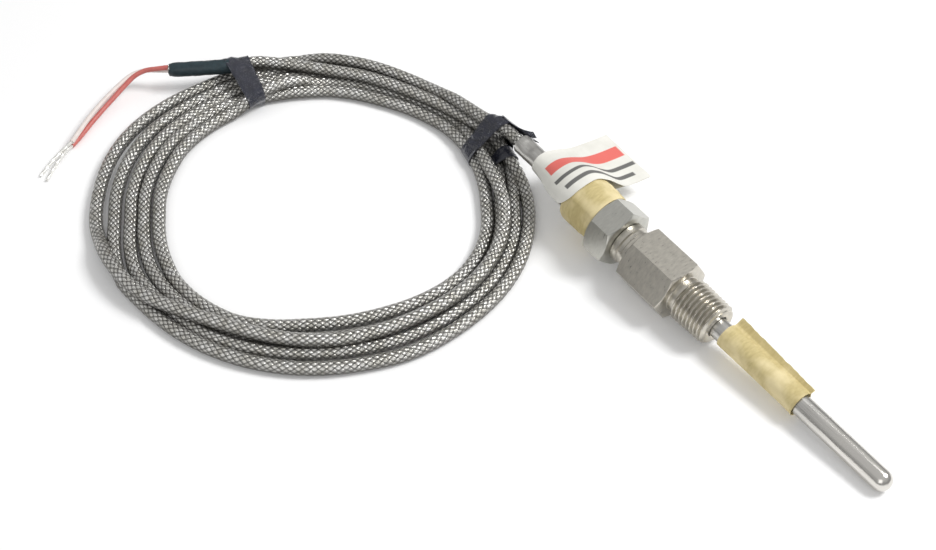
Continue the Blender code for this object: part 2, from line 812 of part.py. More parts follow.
def lying_tilt():
    """Slope of the probe that rests on its tip and on the front edge of a wrench flat."""
    span = body_front + hex_chamfer / 3 - tube_radius
    return math.atan2(half_flats, span) - math.asin(tube_radius / math.hypot(span, half_flats))


def world_bounds(things):
    bpy.context.view_layer.update()
    points = [thing.matrix_world @ vert.co for thing in things for vert in thing.data.vertices]
    low = Vector([min(point[i] for point in points) for i in range(3)])
    high = Vector([max(point[i] for point in points) for i in range(3)])
    return low, high


def main():
    clear_scene()
    make_materials()
    base = empty("base")
    axis = empty("probe_axis", base)
    axis.location = (-tube_radius, 0.0, tube_radius)
    axis.rotation_euler.y = lying_tilt()
    make_sheath(axis)
    make_elements(axis)
    make_junction(axis)
    make_insulators(axis)
    make_plug(axis)
    make_body(axis)
    make_nut(axis)
    make_ferrules(axis)
    make_neck_tape(axis)
    make_rod_tape(axis)
    make_label(axis)
    rigid = [thing for thing in bpy.data.objects if thing.type == "MESH"]
    low, high = world_bounds(rigid)
    make_coil(base)
    make_lead(base)
    make_sleeve(base)
    make_wires(base)
    make_ties(base)
    base.location = (-(low.x + high.x) / 2, -(low.y + high.y) / 2, -low.z)


main()
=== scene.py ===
import math

import bmesh
import bpy
from mathutils import Matrix, Vector, noise


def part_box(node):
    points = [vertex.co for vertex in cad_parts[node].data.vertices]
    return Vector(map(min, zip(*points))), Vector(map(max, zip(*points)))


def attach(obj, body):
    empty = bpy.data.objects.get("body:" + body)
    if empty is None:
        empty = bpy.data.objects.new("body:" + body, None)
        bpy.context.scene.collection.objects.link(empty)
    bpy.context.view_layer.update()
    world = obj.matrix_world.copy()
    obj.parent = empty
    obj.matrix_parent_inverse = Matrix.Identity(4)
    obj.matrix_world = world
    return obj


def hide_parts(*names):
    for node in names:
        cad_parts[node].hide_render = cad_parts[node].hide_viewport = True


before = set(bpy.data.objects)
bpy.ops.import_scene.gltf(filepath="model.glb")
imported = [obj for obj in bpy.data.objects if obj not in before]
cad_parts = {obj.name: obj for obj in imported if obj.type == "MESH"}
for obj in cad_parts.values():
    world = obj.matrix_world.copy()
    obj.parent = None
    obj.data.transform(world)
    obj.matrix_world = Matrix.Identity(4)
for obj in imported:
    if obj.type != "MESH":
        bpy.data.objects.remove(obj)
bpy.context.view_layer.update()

# Stations are distances in from the tip, along the probe's axis.
# Angles about the axis start level on the -Y side and rise over the top.
MM = 0.001

# Protective tube
tube_radius = 3.175 * MM
tube_length = 153.0 * MM
tube_tilt = math.radians(4.1154)
tip_rings = 12
first_tube_ring = 5.0 * MM
tube_ring_gap = 2.0 * MM
dent_rings_from = 143.0 * MM
dent_ring_gap = 0.4 * MM
tube_rim_room = 0.6 * MM
# Distance from the rear end and radius, round the rim and into the bore, in millimetres
tube_mouth = [(0.2, 3.175), (0.0, 3.025), (0.0, 2.385), (0.3, 2.285), (9.0, 2.285)]
dent_station = 148.7 * MM
dent_length = 6.0 * MM
dent_depth = 0.8 * MM
dent_angle = math.radians(66)
dent_spread = math.radians(55)
polished_length = 24.0 * MM

# Fitting body
thread_front = 65.0 * MM
thread_rear = 77.9 * MM
thread_rings = 150
thread_pitch = 25.4 / 18 * MM
thread_small_radius = 6.65 * MM
thread_depth = 0.95 * MM
thread_taper = 1 / 32
thread_flat = 0.12
thread_run_in = 1.1
thread_run_out = 1.3
thread_lowest = 5.7 * MM
relief_radius = 5.9 * MM
half_flats = 8.73 * MM
corner_room = 0.05 * MM
chamfer_radius = 8.65 * MM
chamfer_length = 0.8 * MM
chamfer_steps = 7
fine_sides = 96
body_hex = (80.0 * MM, 98.0 * MM)
# Stations and radii in millimetres, in order round the section; thread and hexagon lie between them
body_front = [(65.0, 3.675), (65.0, 5.6)]
body_relief = [(78.0, 5.9), (79.8, 5.9), (80.0, 6.1)]
body_waist = [
    (98.0, 6.85), (98.25, 6.55), (98.5, 6.5), (100.0, 6.5), (100.4, 6.05), (101.6, 6.05), (102.0, 6.5),
    (103.9, 6.5), (104.1, 6.3), (104.2, 5.6), (108.6, 5.6), (108.6, 3.475), (65.2, 3.475),
]

# Gland nut
nut_hex = (104.2 * MM, 113.0 * MM)
nut_turn = math.radians(-18)
nut_front = [(104.2, 5.9)]
nut_hub = [
    (113.0, 7.4), (113.2, 7.2), (121.9, 7.2), (122.25, 7.05), (122.4, 6.7), (122.4, 3.475), (111.2, 3.475),
    (109.7, 5.9),
]

# Masking tape on the nut's hub
neck_tape = (113.3 * MM, 125.4 * MM)
neck_tape_radius = 8.65 * MM
neck_tape_core = 8.25 * MM
neck_tape_inner = 7.85 * MM
neck_tape_shift = (0.55 * MM, 0.35 * MM)
neck_tape_rings = 40
neck_tape_sides = 128
first_wrap = 0.22 * MM
first_wrap_slope = 14
second_wrap = 0.16 * MM
second_wrap_start = 0.28
second_wrap_slope = 30
rear_edge_start = 0.94
rear_edge_drop = 0.30 * MM
lap_angle = math.radians(38)
lap_step = 0.16 * MM
neck_tape_wave = 0.14 * MM

# Masking tape on the tube
rod_tape = (32.5 * MM, 61.5 * MM)
rod_tape_radius = 3.62 * MM
rod_tape_thickness = 0.2 * MM
rod_tape_rings = 48
rod_tape_sides = 48
rod_tape_gap = math.radians(11)
rod_tape_wave = 0.07 * MM
fin_reach = (5.5 * MM, 6.7 * MM)
fin_angle = math.radians(146)
fin_gap = 0.2 * MM
fin_steps = 7
fin_root = rod_tape_radius + 0.3 * MM
fin_wave = 0.25 * MM
fin_curl = 0.9 * MM
fin_curl_share = 0.09
lower_layer_back = 0.3 * MM
lower_layer_curl = 0.3
loop_curl = 0.25

# Paper label
paper_thickness = 0.15 * MM
label_rear = 143.4 * MM
label_flat_share = 0.16
label_rings = 36
label_points_per_span = 8
label_crumple = 0.22 * MM
# Angle about the axis, height above the neck tape, distance behind its rear edge
label_front_edge = [
    (190, 18.9, -3.6), (190, 12.4, -3.5), (187, 7.7, -3.8), (176.5, 4.3, -3.6), (157, 1.85, -3.6),
    (134.6, 1.0, -3.7), (112, 0.9, -3.2), (91, 0.75, -3.2), (67, 0.6, -3.0), (43, 0.3, -2.3),
    (22.5, 0.05, -0.6), (16, -0.1, 0.4), (2.5, -2.0, 0.4), (-26.6, -3.2, 0.6),
    (-72.6, -3.97, 0.6), (-123, -2.56, 0.6), (-151.6, 0.66, 0.4), (-165.9, 3.68, -1.8),
    (-171.6, 7.78, -3.4), (-169.3, 12.5, -3.4), (-169.5, 19.0, -3.5),
]
# Angle about the axis and height above the tube
label_rear_edge = [
    (189.5, 24.7), (189.4, 18.3), (188.4, 13.5), (186.1, 9.1), (177.3, 5.45), (161.3, 2.75),
    (135, 1.05), (105, 0.66), (71, 0.53), (41.6, 0.44), (16.4, 0.38), (-3.1, 0.48), (-21.8, 0.6),
    (-49.4, 0.52), (-83.8, 0.55), (-121.6, 1.41), (-152, 3.85), (-167.9, 8.07),
    (-170, 13.58), (-169.4, 18.4), (-169.6, 24.75),
]
black_ink = (0.05, 0.05, 0.05, 1.0)
red_ink = (0.72, 0.07, 0.05, 1.0)
crease_shade = (0.03, 0.03, 0.03, 1.0)
# Plain bars and the crease's shade: span round the label, span along the probe, colour
label_bars = [
    ((0.03, 0.43), (0.13, 0.20), black_ink), ((0.004, 0.45), (0.31, 0.38), black_ink),
    ((0.008, 0.44), (0.53, 0.74), red_ink), ((0.548, 0.556), (-1.0, 2.0), crease_shade),
]

# Braided lead: angle about the coil's centre, distance from it, height, in millimetres
lead_radius = 2.035 * MM
coil_centre = (-180.4, -59.5)
lying = 2.04
tie_lift = 0.45
tie_lift_reach = 24
lead_step = 0.75
lead_mouth = (-153.3, 0.0, 13.98)
lead_exit = [(-149.0, 0.0, 13.7), (-151.2, 0.0, 13.85), lead_mouth, (-155.0, 0.2, 14.02)]
first_turn = [
    (66, 64.9, 13.9), (71, 63.6, 13.3), (77, 61.6, 12.0), (83, 60.1, 10.6), (90, 59.5, 9.5),
    (96, 59.7, 8.4), (102, 60.1, 6.9), (109, 60.6, 6.0), (118, 61.3, 5.9), (127, 62.6, 6.0),
    (136, 64.3, 5.7), (144, 66.8, 4.3), (152, 68.7, 2.04), (165, 68.1, 2.04),
]
# The first turn climbs over the others and comes down as the innermost one
riding_turn = [
    (246, 66.2, 2.9), (252, 65.5, 4.9), (258, 64.7, 5.7), (264, 63.8, 5.8), (270, 62.6, 5.7),
    (276, 60.9, 5.7), (283, 58.8, 5.7), (292, 57.0, 5.7), (304, 56.3, 5.7), (319, 57.2, 5.6),
    (333, 58.2, 5.5), (345, 58.4, 5.5), (356, 58.8, 5.5), (367, 59.7, 5.7), (378, 60.4, 5.7),
    (392, 60.2, 5.7), (407, 58.6, 5.8), (414, 57.4, 5.8), (421, 56.0, 5.8), (428, 55.1, 5.7),
    (436, 55.3, 5.0), (445, 56.2, 3.6),
]
# It lies low between these angles, then crosses over once more and is the innermost from the last one
low_span = (450, 502)
crossing = [
    (506, 56.4, 2.7), (512, 55.4, 5.0), (518, 54.0, 6.1), (525, 52.4, 6.0), (532, 51.2, 4.6),
    (539, 51.2, 2.4),
]
innermost_from = 540
last_turn_from = 413
last_turn = [
    (413, 65.8, 2.04), (420, 64.7, 3.2), (427, 62.9, 4.9), (434, 61.5, 5.6), (442, 60.3, 5.7),
    (449, 58.7, 5.7), (456, 57.3, 5.7), (463, 56.5, 5.7), (471, 56.1, 5.7), (480, 56.4, 5.8),
    (491, 57.6, 5.9), (499, 58.6, 5.9), (505, 60.0, 5.9), (511, 62.0, 5.9), (517, 64.2, 6.3),
    (522.6, 65.9, 7.2), (526.7, 66.4, 7.7), (530.1, 67.0, 8.1), (533, 67.7, 8.3),
    (536.4, 69.7, 8.4), (539.4, 71.9, 8.3), (542.5, 74.9, 8.1), (545.1, 78.0, 7.8),
]
# Angle, innermost and outermost strand, where the turns lie side by side
far_lanes = [
    (84, 53.2, 64.6), (92, 53.2, 64.6), (101, 52.7, 64.2), (110, 52.2, 64.0), (121, 51.9, 64.3),
    (132, 52.5, 64.9), (141, 53.0, 65.1), (150, 53.0, 64.7),
]
left_lanes = [
    (180, 51.6, 68.2), (192, 51.2, 69.6), (203, 50.8, 70.2), (213, 49.8, 69.8), (228, 48.8, 68.2),
    (240, 48.2, 67.2),
]
left_shares = (0.0, 0.235, 0.45, 0.71, 1.0)
near_lanes = [
    (262, 49.6, 63.7), (270, 50.5, 62.9), (279, 51.0, 62.6), (290, 51.4, 62.9), (300, 51.5, 63.4),
    (311, 50.4, 64.1), (323, 49.2, 64.9), (337, 49.4, 65.7), (350, 50.4, 66.8), (365, 52.6, 66.9),
    (378, 54.4, 67.3), (390, 54.8, 67.3), (401, 54.2, 66.7), (413, 53.1, 65.8),
]
# For each later turn: its share across the far side, and angle and distance between far and left side
later_turns = {2: (0.0, (165, 53.6)), 3: (2 / 3, (165, 60.3)), 4: (1.0, (165, 64.2))}
braid_sides = 25
braid_relief = 0.22 * MM
crossings_round = 8.0
crossing_length = 2.2 * MM

# Shrink sleeve, radii in millimetres
sleeve_length = 20.0 * MM
sleeve_radius = 2.45
sleeve_sides = 40
sleeve_narrowing = 0.55
sleeve_narrow_from = 0.86
sleeve_flare = 0.12
sleeve_flare_share = 0.05
sleeve_wrinkle = 0.16
# Point of the path and radius, from the wires' end back through the inside
sleeve_inside = [(-1, 1.5), (-4, 1.4), (3, 2.0), (0, 2.16)]

# Ties round the coil
tie_width = 7.5 * MM
tie_thickness = 0.3 * MM
tie_clearance = 0.08 * MM
tie_steps = 12
tie_sides = 120
strand_sides = 32
left_tie_angle = 168.5
right_tie_angle = 76
second_turn_angle = 69.0
second_turn_width = 4.5 * MM
coil_radius = 62 * MM
band_middle = (58.0, 5.0)
# Heights between which the film's creases set in
crease_from = 3.0
crease_full = 5.0
# Loose ends: root at the coil, heading in degrees, length, width, rise, curl and count of teeth
left_tail = ((left_tie_angle, 69.4, 5.3), 248, 15.5 * MM, 2.8 * MM, 0.2 * MM, 0.5 * MM, 2)
right_tail = ((right_tie_angle, 63.6, 13.2), 8, 15.0 * MM, 4.6 * MM, 1.0 * MM, 0.9 * MM, 3)
tail_thickness = 0.24 * MM
tail_steps = 12

# Insulated wires and their stripped ends, in millimetres
wire_radius = 0.80 * MM
wire_spacing = 0.88 * MM
wire_lead_in = 2.0 * MM
wire_twist = (math.radians(80), math.radians(-100))
wire_route = [
    (-257.7, -65.4, 8.1), (-260.2, -68.4, 7.7), (-263.2, -71.6, 6.9), (-264.6, -75.6, 5.9),
    (-263.7, -80.4, 4.9), (-262.1, -85.5, 3.9), (-260.1, -90.7, 3.1), (-257.2, -96.6, 2.5),
    (-253.9, -102.2, 2.1), (-251.6, -106.2, 1.95),
]
red_bare_route = [(-248.9, -110.9, 1.6), (-245.8, -115.6, 1.2), (-242.7, -120.0, 0.6)]
white_bare_route = [(-250.3, -111.4, 1.6), (-248.2, -116.0, 1.2), (-245.8, -120.6, 0.6)]
bare_radius = 0.50 * MM
bare_sides = 28
strand_count = 4
strand_lay = 3.2 * MM
strand_relief = 0.14
bare_narrowing = 0.25

# Camera
camera_place = (101.8, -220.1, 327.6)
camera_forward = Vector((-0.5256, 0.4110, -0.7449))
camera_lens = 56.57
sensor_width = 36.0
nearest_seen = 0.01

# Floor and light: distances with the glow there, heights with the sky's light there
floor_size = 8.0
floor_drop = 0.05 * MM
glow_near = (0.35, 0.06)
glow_far = (1.0, 0.6)
sky_level = (0.0, 0.24)
sky_high = (0.75, 0.62)
lamp_target = (-0.05, -0.03, 0.0)
# Name, place, width and power
lamps = [("key", (0.25, 0.45, 0.76), 0.34, 6.6), ("fill", (0.45, -0.75, 0.55), 0.6, 1.2)]

tube_low, tube_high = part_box("sheath_tube")
base = Vector((tube_high[0], (tube_low[1] + tube_high[1]) / 2, 0.0))
axis_start = base + Vector((-tube_radius, 0.0, tube_radius))
axis_matrix = Matrix.Translation(axis_start) @ Matrix.Rotation(tube_tilt, 4, "Y")


def at_base(x, y, z):
    """A point in millimetres from the surface below the tip."""
    return base + Vector((x, y, z)) * MM


def about_axis(station, angle, radius, shift=(0.0, 0.0)):
    across = -radius * math.cos(angle) + shift[0]
    up = radius * math.sin(angle) + shift[1]
    return axis_matrix @ Vector((tube_radius - station, across, up))


def round_angles(count):
    return [math.tau * k / count for k in range(count)]


def place_object(name, data):
    thing = bpy.data.objects.new(name, data)
    bpy.context.scene.collection.objects.link(thing)
    return thing


# Node helpers

def node(tree, kind, inputs=None, **settings):
    made = tree.nodes.new(kind)
    for name, value in settings.items():
        setattr(made, name, value)
    for key, value in (inputs or {}).items():
        if isinstance(value, bpy.types.NodeSocket):
            tree.links.new(value, made.inputs[key])
        else:
            made.inputs[key].default_value = value
    return made


def maths(tree, operation, first, second=0.0, third=0.0):
    made = node(tree, "ShaderNodeMath", {0: first, 1: second, 2: third}, operation=operation)
    return made.outputs[0]


def mixed(tree, factor, first, second):
    made = node(tree, "ShaderNodeMix", {0: factor, 6: first, 7: second}, data_type="RGBA")
    return made.outputs[2]


def ranged(tree, value, low, high, to_low=0.0, to_high=1.0):
    """A value moved from one range to another and kept inside it."""
    inputs = {0: value, 1: low, 2: high, 3: to_low, 4: to_high}
    return node(tree, "ShaderNodeMapRange", inputs).outputs[0]


def in_range(tree, value, low, high, soft):
    """1 where the value lies between low and high, with soft edges."""
    above = ranged(tree, value, low - soft, low + soft)
    below = ranged(tree, value, high + soft, high - soft)
    return maths(tree, "MULTIPLY", above, below)


def add_sockets(tree, sockets, in_out):
    for name, kind in sockets.items():
        tree.interface.new_socket(name=name, in_out=in_out, socket_type="NodeSocket" + kind)


def uv_parts(tree):
    uv = node(tree, "ShaderNodeUVMap", uv_map="UVMap").outputs[0]
    return node(tree, "ShaderNodeSeparateXYZ", {0: uv}).outputs


def make_grain_group():
    """Uneven colour, gloss and surface from fine noise."""
    tree = bpy.data.node_groups.new("grain", "ShaderNodeTree")
    add_sockets(tree, {"Vector": "Vector", "Colour": "Color", "Shade": "Color", "Scale": "Float",
                       "Contrast": "Float", "Roughness": "Float", "Spread": "Float",
                       "Relief": "Float"}, "INPUT")
    add_sockets(tree, {"Colour": "Color", "Roughness": "Float", "Normal": "Vector"}, "OUTPUT")
    given = node(tree, "NodeGroupInput").outputs
    pattern = node(tree, "ShaderNodeTexNoise", {"Vector": given["Vector"], "Scale": given["Scale"],
                                                "Detail": 5.0, "Roughness": 0.6}).outputs["Fac"]
    centred = maths(tree, "SUBTRACT", pattern, 0.5)
    amount = maths(tree, "MULTIPLY_ADD", centred, given["Contrast"], 0.5)
    amount = node(tree, "ShaderNodeClamp", {0: amount}).outputs[0]
    gloss = maths(tree, "MULTIPLY_ADD", centred, given["Spread"], given["Roughness"])
    bump = node(tree, "ShaderNodeBump", {"Strength": 1.0, "Distance": given["Relief"], "Height": pattern})
    node(tree, "NodeGroupOutput", {"Colour": mixed(tree, amount, given["Shade"], given["Colour"]),
                                   "Roughness": gloss, "Normal": bump.outputs[0]})
    return tree


grain_group = make_grain_group()


def new_material(name, metallic=0.0, **plain):
    made = bpy.data.materials.new(name)
    made.use_nodes = True
    shader = made.node_tree.nodes["Principled BSDF"]
    shader.inputs["Metallic"].default_value = metallic
    for key, value in plain.items():
        shader.inputs[key.replace("_", " ")].default_value = value
    return made, made.node_tree, shader


def object_vector(tree, stretch=(1, 1, 1), turn=(0, 0, 0)):
    """Object coordinates, turned and then stretched."""
    source = node(tree, "ShaderNodeTexCoord").outputs["Object"]
    turned = node(tree, "ShaderNodeMapping", {"Vector": source, "Rotation": turn}).outputs[0]
    return node(tree, "ShaderNodeMapping", {"Vector": turned, "Scale": stretch}).outputs[0]


def grain(tree, vector, colour, shade, scale, contrast, roughness, spread, relief):
    """Grain between two colours. Roughness varies by its spread, and relief is a height in millimetres."""
    inputs = {"Vector": vector, "Colour": (*colour, 1.0), "Shade": (*shade, 1.0), "Scale": scale,
              "Contrast": contrast, "Roughness": roughness, "Spread": spread, "Relief": relief * MM}
    return node(tree, "ShaderNodeGroup", inputs, node_tree=grain_group).outputs


def feed(tree, shader, colour, roughness, normal):
    tree.links.new(colour, shader.inputs["Base Color"])
    tree.links.new(roughness, shader.inputs["Roughness"])
    tree.links.new(normal, shader.inputs["Normal"])


def grainy_material(name, look, metallic=0.0, stretch=(1, 1, 1), turn=(0, 0, 0), **plain):
    made, tree, shader = new_material(name, metallic, **plain)
    feed(tree, shader, *grain(tree, object_vector(tree, stretch, turn), *look))
    return made


axis_turn = (0.0, -tube_tilt, 0.0)


def make_tube_steel():
    """Satin steel with marks along the tube, polished towards the tip."""
    made, tree, shader = new_material("tube_steel", 1.0)
    along = object_vector(tree, (0.06, 1, 1), axis_turn)
    marks = grain(tree, along, (0.66, 0.65, 0.62), (0.40, 0.39, 0.37), 2600, 1.6, 0.30, 0.16, 0.04)
    place = object_vector(tree, (1, 1, 1), axis_turn)
    x = node(tree, "ShaderNodeSeparateXYZ", {0: place}).outputs[0]
    tip = axis_start.x * math.cos(tube_tilt) - axis_start.z * math.sin(tube_tilt) + tube_radius
    polish = ranged(tree, x, tip - polished_length * 1.3, tip - polished_length * 0.7)
    colour = mixed(tree, polish, marks["Colour"], (0.66, 0.64, 0.60, 1.0))
    gloss = maths(tree, "MULTIPLY_ADD", polish, -0.12, marks["Roughness"])
    feed(tree, shader, colour, gloss, marks["Normal"])
    return made


def make_braid():
    """Flat groups of fine wires that cross over and under, on UV cells of one crossing each.

    Painted shade makes the sides and the underside, where the turns lie against each other, darker than the
    top.
    """
    wires_in_group = 4
    # dark is the colour of the painted shade; the patches between dull and bright are the braid's own uneven
    # tone.
    dark = (0.055, 0.052, 0.045, 1.0)
    dull = (0.72, 0.70, 0.64, 1.0)
    bright = (1.0, 0.99, 0.96, 1.0)
    made, tree, shader = new_material("braided_wire", 0.8, Roughness=0.26)
    u, v = uv_parts(tree)[:2]
    p = maths(tree, "ADD", u, v)
    q = maths(tree, "SUBTRACT", u, v)
    cells = maths(tree, "ADD", maths(tree, "FLOOR", p), maths(tree, "FLOOR", q))
    over = maths(tree, "FLOORED_MODULO", cells, 2.0)
    across_p = maths(tree, "FRACT", p)
    across_q = maths(tree, "FRACT", q)
    difference = maths(tree, "SUBTRACT", across_p, across_q)
    across = maths(tree, "MULTIPLY_ADD", difference, over, across_q)
    along = maths(tree, "MULTIPLY_ADD", maths(tree, "MULTIPLY", difference, -1.0), over, across_p)
    crown = maths(tree, "SINE", maths(tree, "MULTIPLY", across, math.pi))
    arch = maths(tree, "SINE", maths(tree, "MULTIPLY", along, math.pi))
    wires = maths(tree, "COSINE", maths(tree, "MULTIPLY", across, math.tau * wires_in_group))
    wires = maths(tree, "MULTIPLY_ADD", wires, 0.5, 0.5)
    body = maths(tree, "POWER", maths(tree, "MULTIPLY", crown, arch), 0.6)
    height = maths(tree, "MULTIPLY_ADD", wires, 0.30, body)
    patches = node(tree, "ShaderNodeTexNoise", {"Vector": object_vector(tree), "Scale": 260.0, "Detail": 2.0})
    patchy = ranged(tree, patches.outputs["Fac"], 0.35, 0.65)
    # Painted sheen: one set of crossing cells is painted lighter than the other, as if the wires' direction
    # caught the light.
    side = maths(tree, "MULTIPLY_ADD", over, 0.30, 0.95)
    # Painted shade: the colour darkens towards the edges of each crossing and in the grooves between its
    # wires.
    shade = maths(tree, "MULTIPLY", body, maths(tree, "MULTIPLY_ADD", wires, 0.40, 0.60))
    # Painted shade: the colour darkens where the surface faces sideways or down.
    normal = node(tree, "ShaderNodeNewGeometry").outputs["Normal"]
    up = node(tree, "ShaderNodeSeparateXYZ", {0: normal}).outputs[2]
    painted_side_shade = ranged(tree, up, -0.1, 0.75, 0.30, 1.0)
    shade = maths(tree, "MULTIPLY", maths(tree, "MULTIPLY", shade, side), painted_side_shade)
    colour = mixed(tree, shade, dark, mixed(tree, patchy, dull, bright))
    bump = node(tree, "ShaderNodeBump", {"Strength": 1.0, "Distance": 0.20 * MM, "Height": height})
    tree.links.new(colour, shader.inputs["Base Color"])
    tree.links.new(bump.outputs[0], shader.inputs["Normal"])
    return made


def make_paper():
    """Off-white paper with soft dirt, plain print bars and a line of painted shade along its crease."""
    ink_and_shade_strength = 0.88
    made, tree, shader = new_material("label_paper")
    look = ((0.82, 0.81, 0.76), (0.66, 0.65, 0.59), 190, 1.2, 0.72, 0.2, 0.04)
    paper = grain(tree, object_vector(tree), *look)
    u, v = uv_parts(tree)[:2]
    colour = paper["Colour"]
    # The bars are print, except the last, which is painted shade along the crease.
    for span, rows, ink_and_shade in label_bars:
        mask = maths(tree, "MULTIPLY", in_range(tree, u, *span, 0.002), in_range(tree, v, *rows, 0.006))
        colour = mixed(tree, maths(tree, "MULTIPLY", mask, ink_and_shade_strength), colour, ink_and_shade)
    feed(tree, shader, colour, paper["Roughness"], paper["Normal"])
    return made


def make_crepe():
    """Masking tape: crepe ridges across its length, with paler and browner patches."""
    made, tree, shader = new_material("masking_tape")
    ridges = object_vector(tree, (1.0, 0.25, 0.25), axis_turn)
    fine = grain(tree, ridges, (0.64, 0.54, 0.27), (0.44, 0.35, 0.15), 1600, 1.5, 0.80, 0.2, 0.10)
    patches = node(tree, "ShaderNodeTexNoise", {"Vector": object_vector(tree), "Scale": 130.0, "Detail": 3.0})
    amount = ranged(tree, patches.outputs["Fac"], 0.42, 0.62)
    colour = mixed(tree, amount, fine["Colour"], (0.74, 0.63, 0.36, 1.0))
    feed(tree, shader, colour, fine["Roughness"], fine["Normal"])
    return made


materials = {"tube": make_tube_steel(), "braid": make_braid(), "paper": make_paper(), "tape": make_crepe()}
turned_metal = {"metallic": 1.0, "stretch": (1.0, 0.35, 0.35), "turn": axis_turn}
ferrule_metal = {"metallic": 1.0, "stretch": (1.0, 0.05, 0.05), "turn": axis_turn}
glossy_film = {"Coat_Weight": 0.7, "Coat_Roughness": 0.06}
# Key, name, look in the order that grain takes it, and what else applies
for finish, title, look, rest in (
        ("turned", "turned_steel",
         ((0.66, 0.625, 0.55), (0.44, 0.42, 0.375), 1500, 1.5, 0.30, 0.16, 0.03), turned_metal),
        ("nut", "nut_steel",
         ((0.58, 0.575, 0.53), (0.43, 0.425, 0.39), 1500, 1.3, 0.30, 0.14, 0.03), turned_metal),
        ("ferrule", "ferrule_steel",
         ((0.62, 0.62, 0.60), (0.48, 0.48, 0.46), 3000, 1.0, 0.26, 0.1, 0.02), ferrule_metal),
        ("ceramic", "ceramic",
         ((0.86, 0.84, 0.78), (0.76, 0.73, 0.66), 900, 1.2, 0.55, 0.2, 0.04), {}),
        ("potting", "potting",
         ((0.50, 0.36, 0.20), (0.34, 0.23, 0.12), 700, 1.4, 0.5, 0.3, 0.10), {}),
        ("element", "drawn_wire",
         ((0.66, 0.63, 0.57), (0.44, 0.41, 0.36), 3000, 1.2, 0.32, 0.2, 0.03), {"metallic": 1.0}),
        ("tinned", "tinned_strands",
         ((0.92, 0.91, 0.88), (0.70, 0.69, 0.65), 1500, 1.3, 0.34, 0.2, 0.03), {"metallic": 0.45}),
        ("film", "tie_film",
         ((0.010, 0.013, 0.034), (0.003, 0.004, 0.010), 420, 1.8, 0.13, 0.15, 1.5), glossy_film),
        ("sleeve", "shrink_sleeve",
         ((0.020, 0.045, 0.055), (0.008, 0.018, 0.024), 700, 1.5, 0.38, 0.2, 0.15), {}),
        ("red", "red_insulation",
         ((0.66, 0.20, 0.17), (0.48, 0.10, 0.09), 600, 1.4, 0.42, 0.2, 0.08), {}),
        ("white", "white_insulation",
         ((0.86, 0.80, 0.76), (0.70, 0.60, 0.56), 600, 1.3, 0.42, 0.2, 0.08), {})):
    materials[finish] = grainy_material(title, look, **rest)


# Mesh helpers

def curve_point(keys, t):
    """A point at parameter t on the smooth curve through keys, each a parameter and its values."""
    last = len(keys) - 1
    i = 0
    while i < last - 1 and t > keys[i + 1][0]:
        i += 1
    span = keys[i + 1][0] - keys[i][0]
    share = (t - keys[i][0]) / span

    def slope(k):
        a, b = max(k - 1, 0), min(k + 1, last)
        return (keys[b][1] - keys[a][1]) / (keys[b][0] - keys[a][0]) * span
    s2, s3 = share * share, share ** 3
    return (keys[i][1] * (2 * s3 - 3 * s2 + 1) + slope(i) * (s3 - 2 * s2 + share)
            + keys[i + 1][1] * (3 * s2 - 2 * s3) + slope(i + 1) * (s3 - s2))


def smooth_path(points, per_span):
    keys = [(i, point) for i, point in enumerate(points)]
    count = (len(points) - 1) * per_span
    return [curve_point(keys, i / per_span) for i in range(count + 1)]


def path_lengths(path):
    lengths = [0.0]
    for before, after in zip(path, path[1:]):
        lengths.append(lengths[-1] + (after - before).length)
    return lengths


def finish_mesh(name, bm, material, sharp):
    bmesh.ops.recalc_face_normals(bm, faces=bm.faces)
    mesh = bpy.data.meshes.new(name)
    bm.to_mesh(mesh)
    bm.free()
    mesh.shade_smooth()
    mesh.set_sharp_from_angle(angle=math.radians(sharp))
    mesh.materials.append(materials[material])
    return place_object(name, mesh)


def bridge(bm, layer, first, second, low, high):
    count = len(first)
    for i in range(count):
        j = (i + 1) % count
        face = bm.faces.new((first[i], first[j], second[j], second[i]))
        for corner, u, v in zip(face.loops, (i, i + 1, i + 1, i), (low, low, high, high)):
            corner[layer].uv = (u / count, v)


def skin(name, rings, material, through, sharp):
    """A closed shell through rings of points: a bored one if through, else with flat ends."""
    bm = bmesh.new()
    layer = bm.loops.layers.uv.new("UVMap")
    loops = [[bm.verts.new(point) for point in ring] for ring in rings]
    for k, (first, second) in enumerate(zip(loops, loops[1:])):
        bridge(bm, layer, first, second, k / len(rings), (k + 1) / len(rings))
    if through:
        bridge(bm, layer, loops[-1], loops[0], 1.0, 1.0)
    else:
        bm.faces.new(loops[0])
        bm.faces.new(loops[-1])
    return finish_mesh(name, bm, material, sharp)


def sheet_normal(rows, i, j, wrap):
    count = len(rows[i])
    below, above = max(i - 1, 0), min(i + 1, len(rows) - 1)
    before, after = j - 1, j + 1
    if wrap:
        after %= count
    else:
        before, after = max(before, 0), min(after, count - 1)
    across = rows[i][after] - rows[i][before]
    along = rows[above][j] - rows[below][j]
    return across.cross(along).normalized()


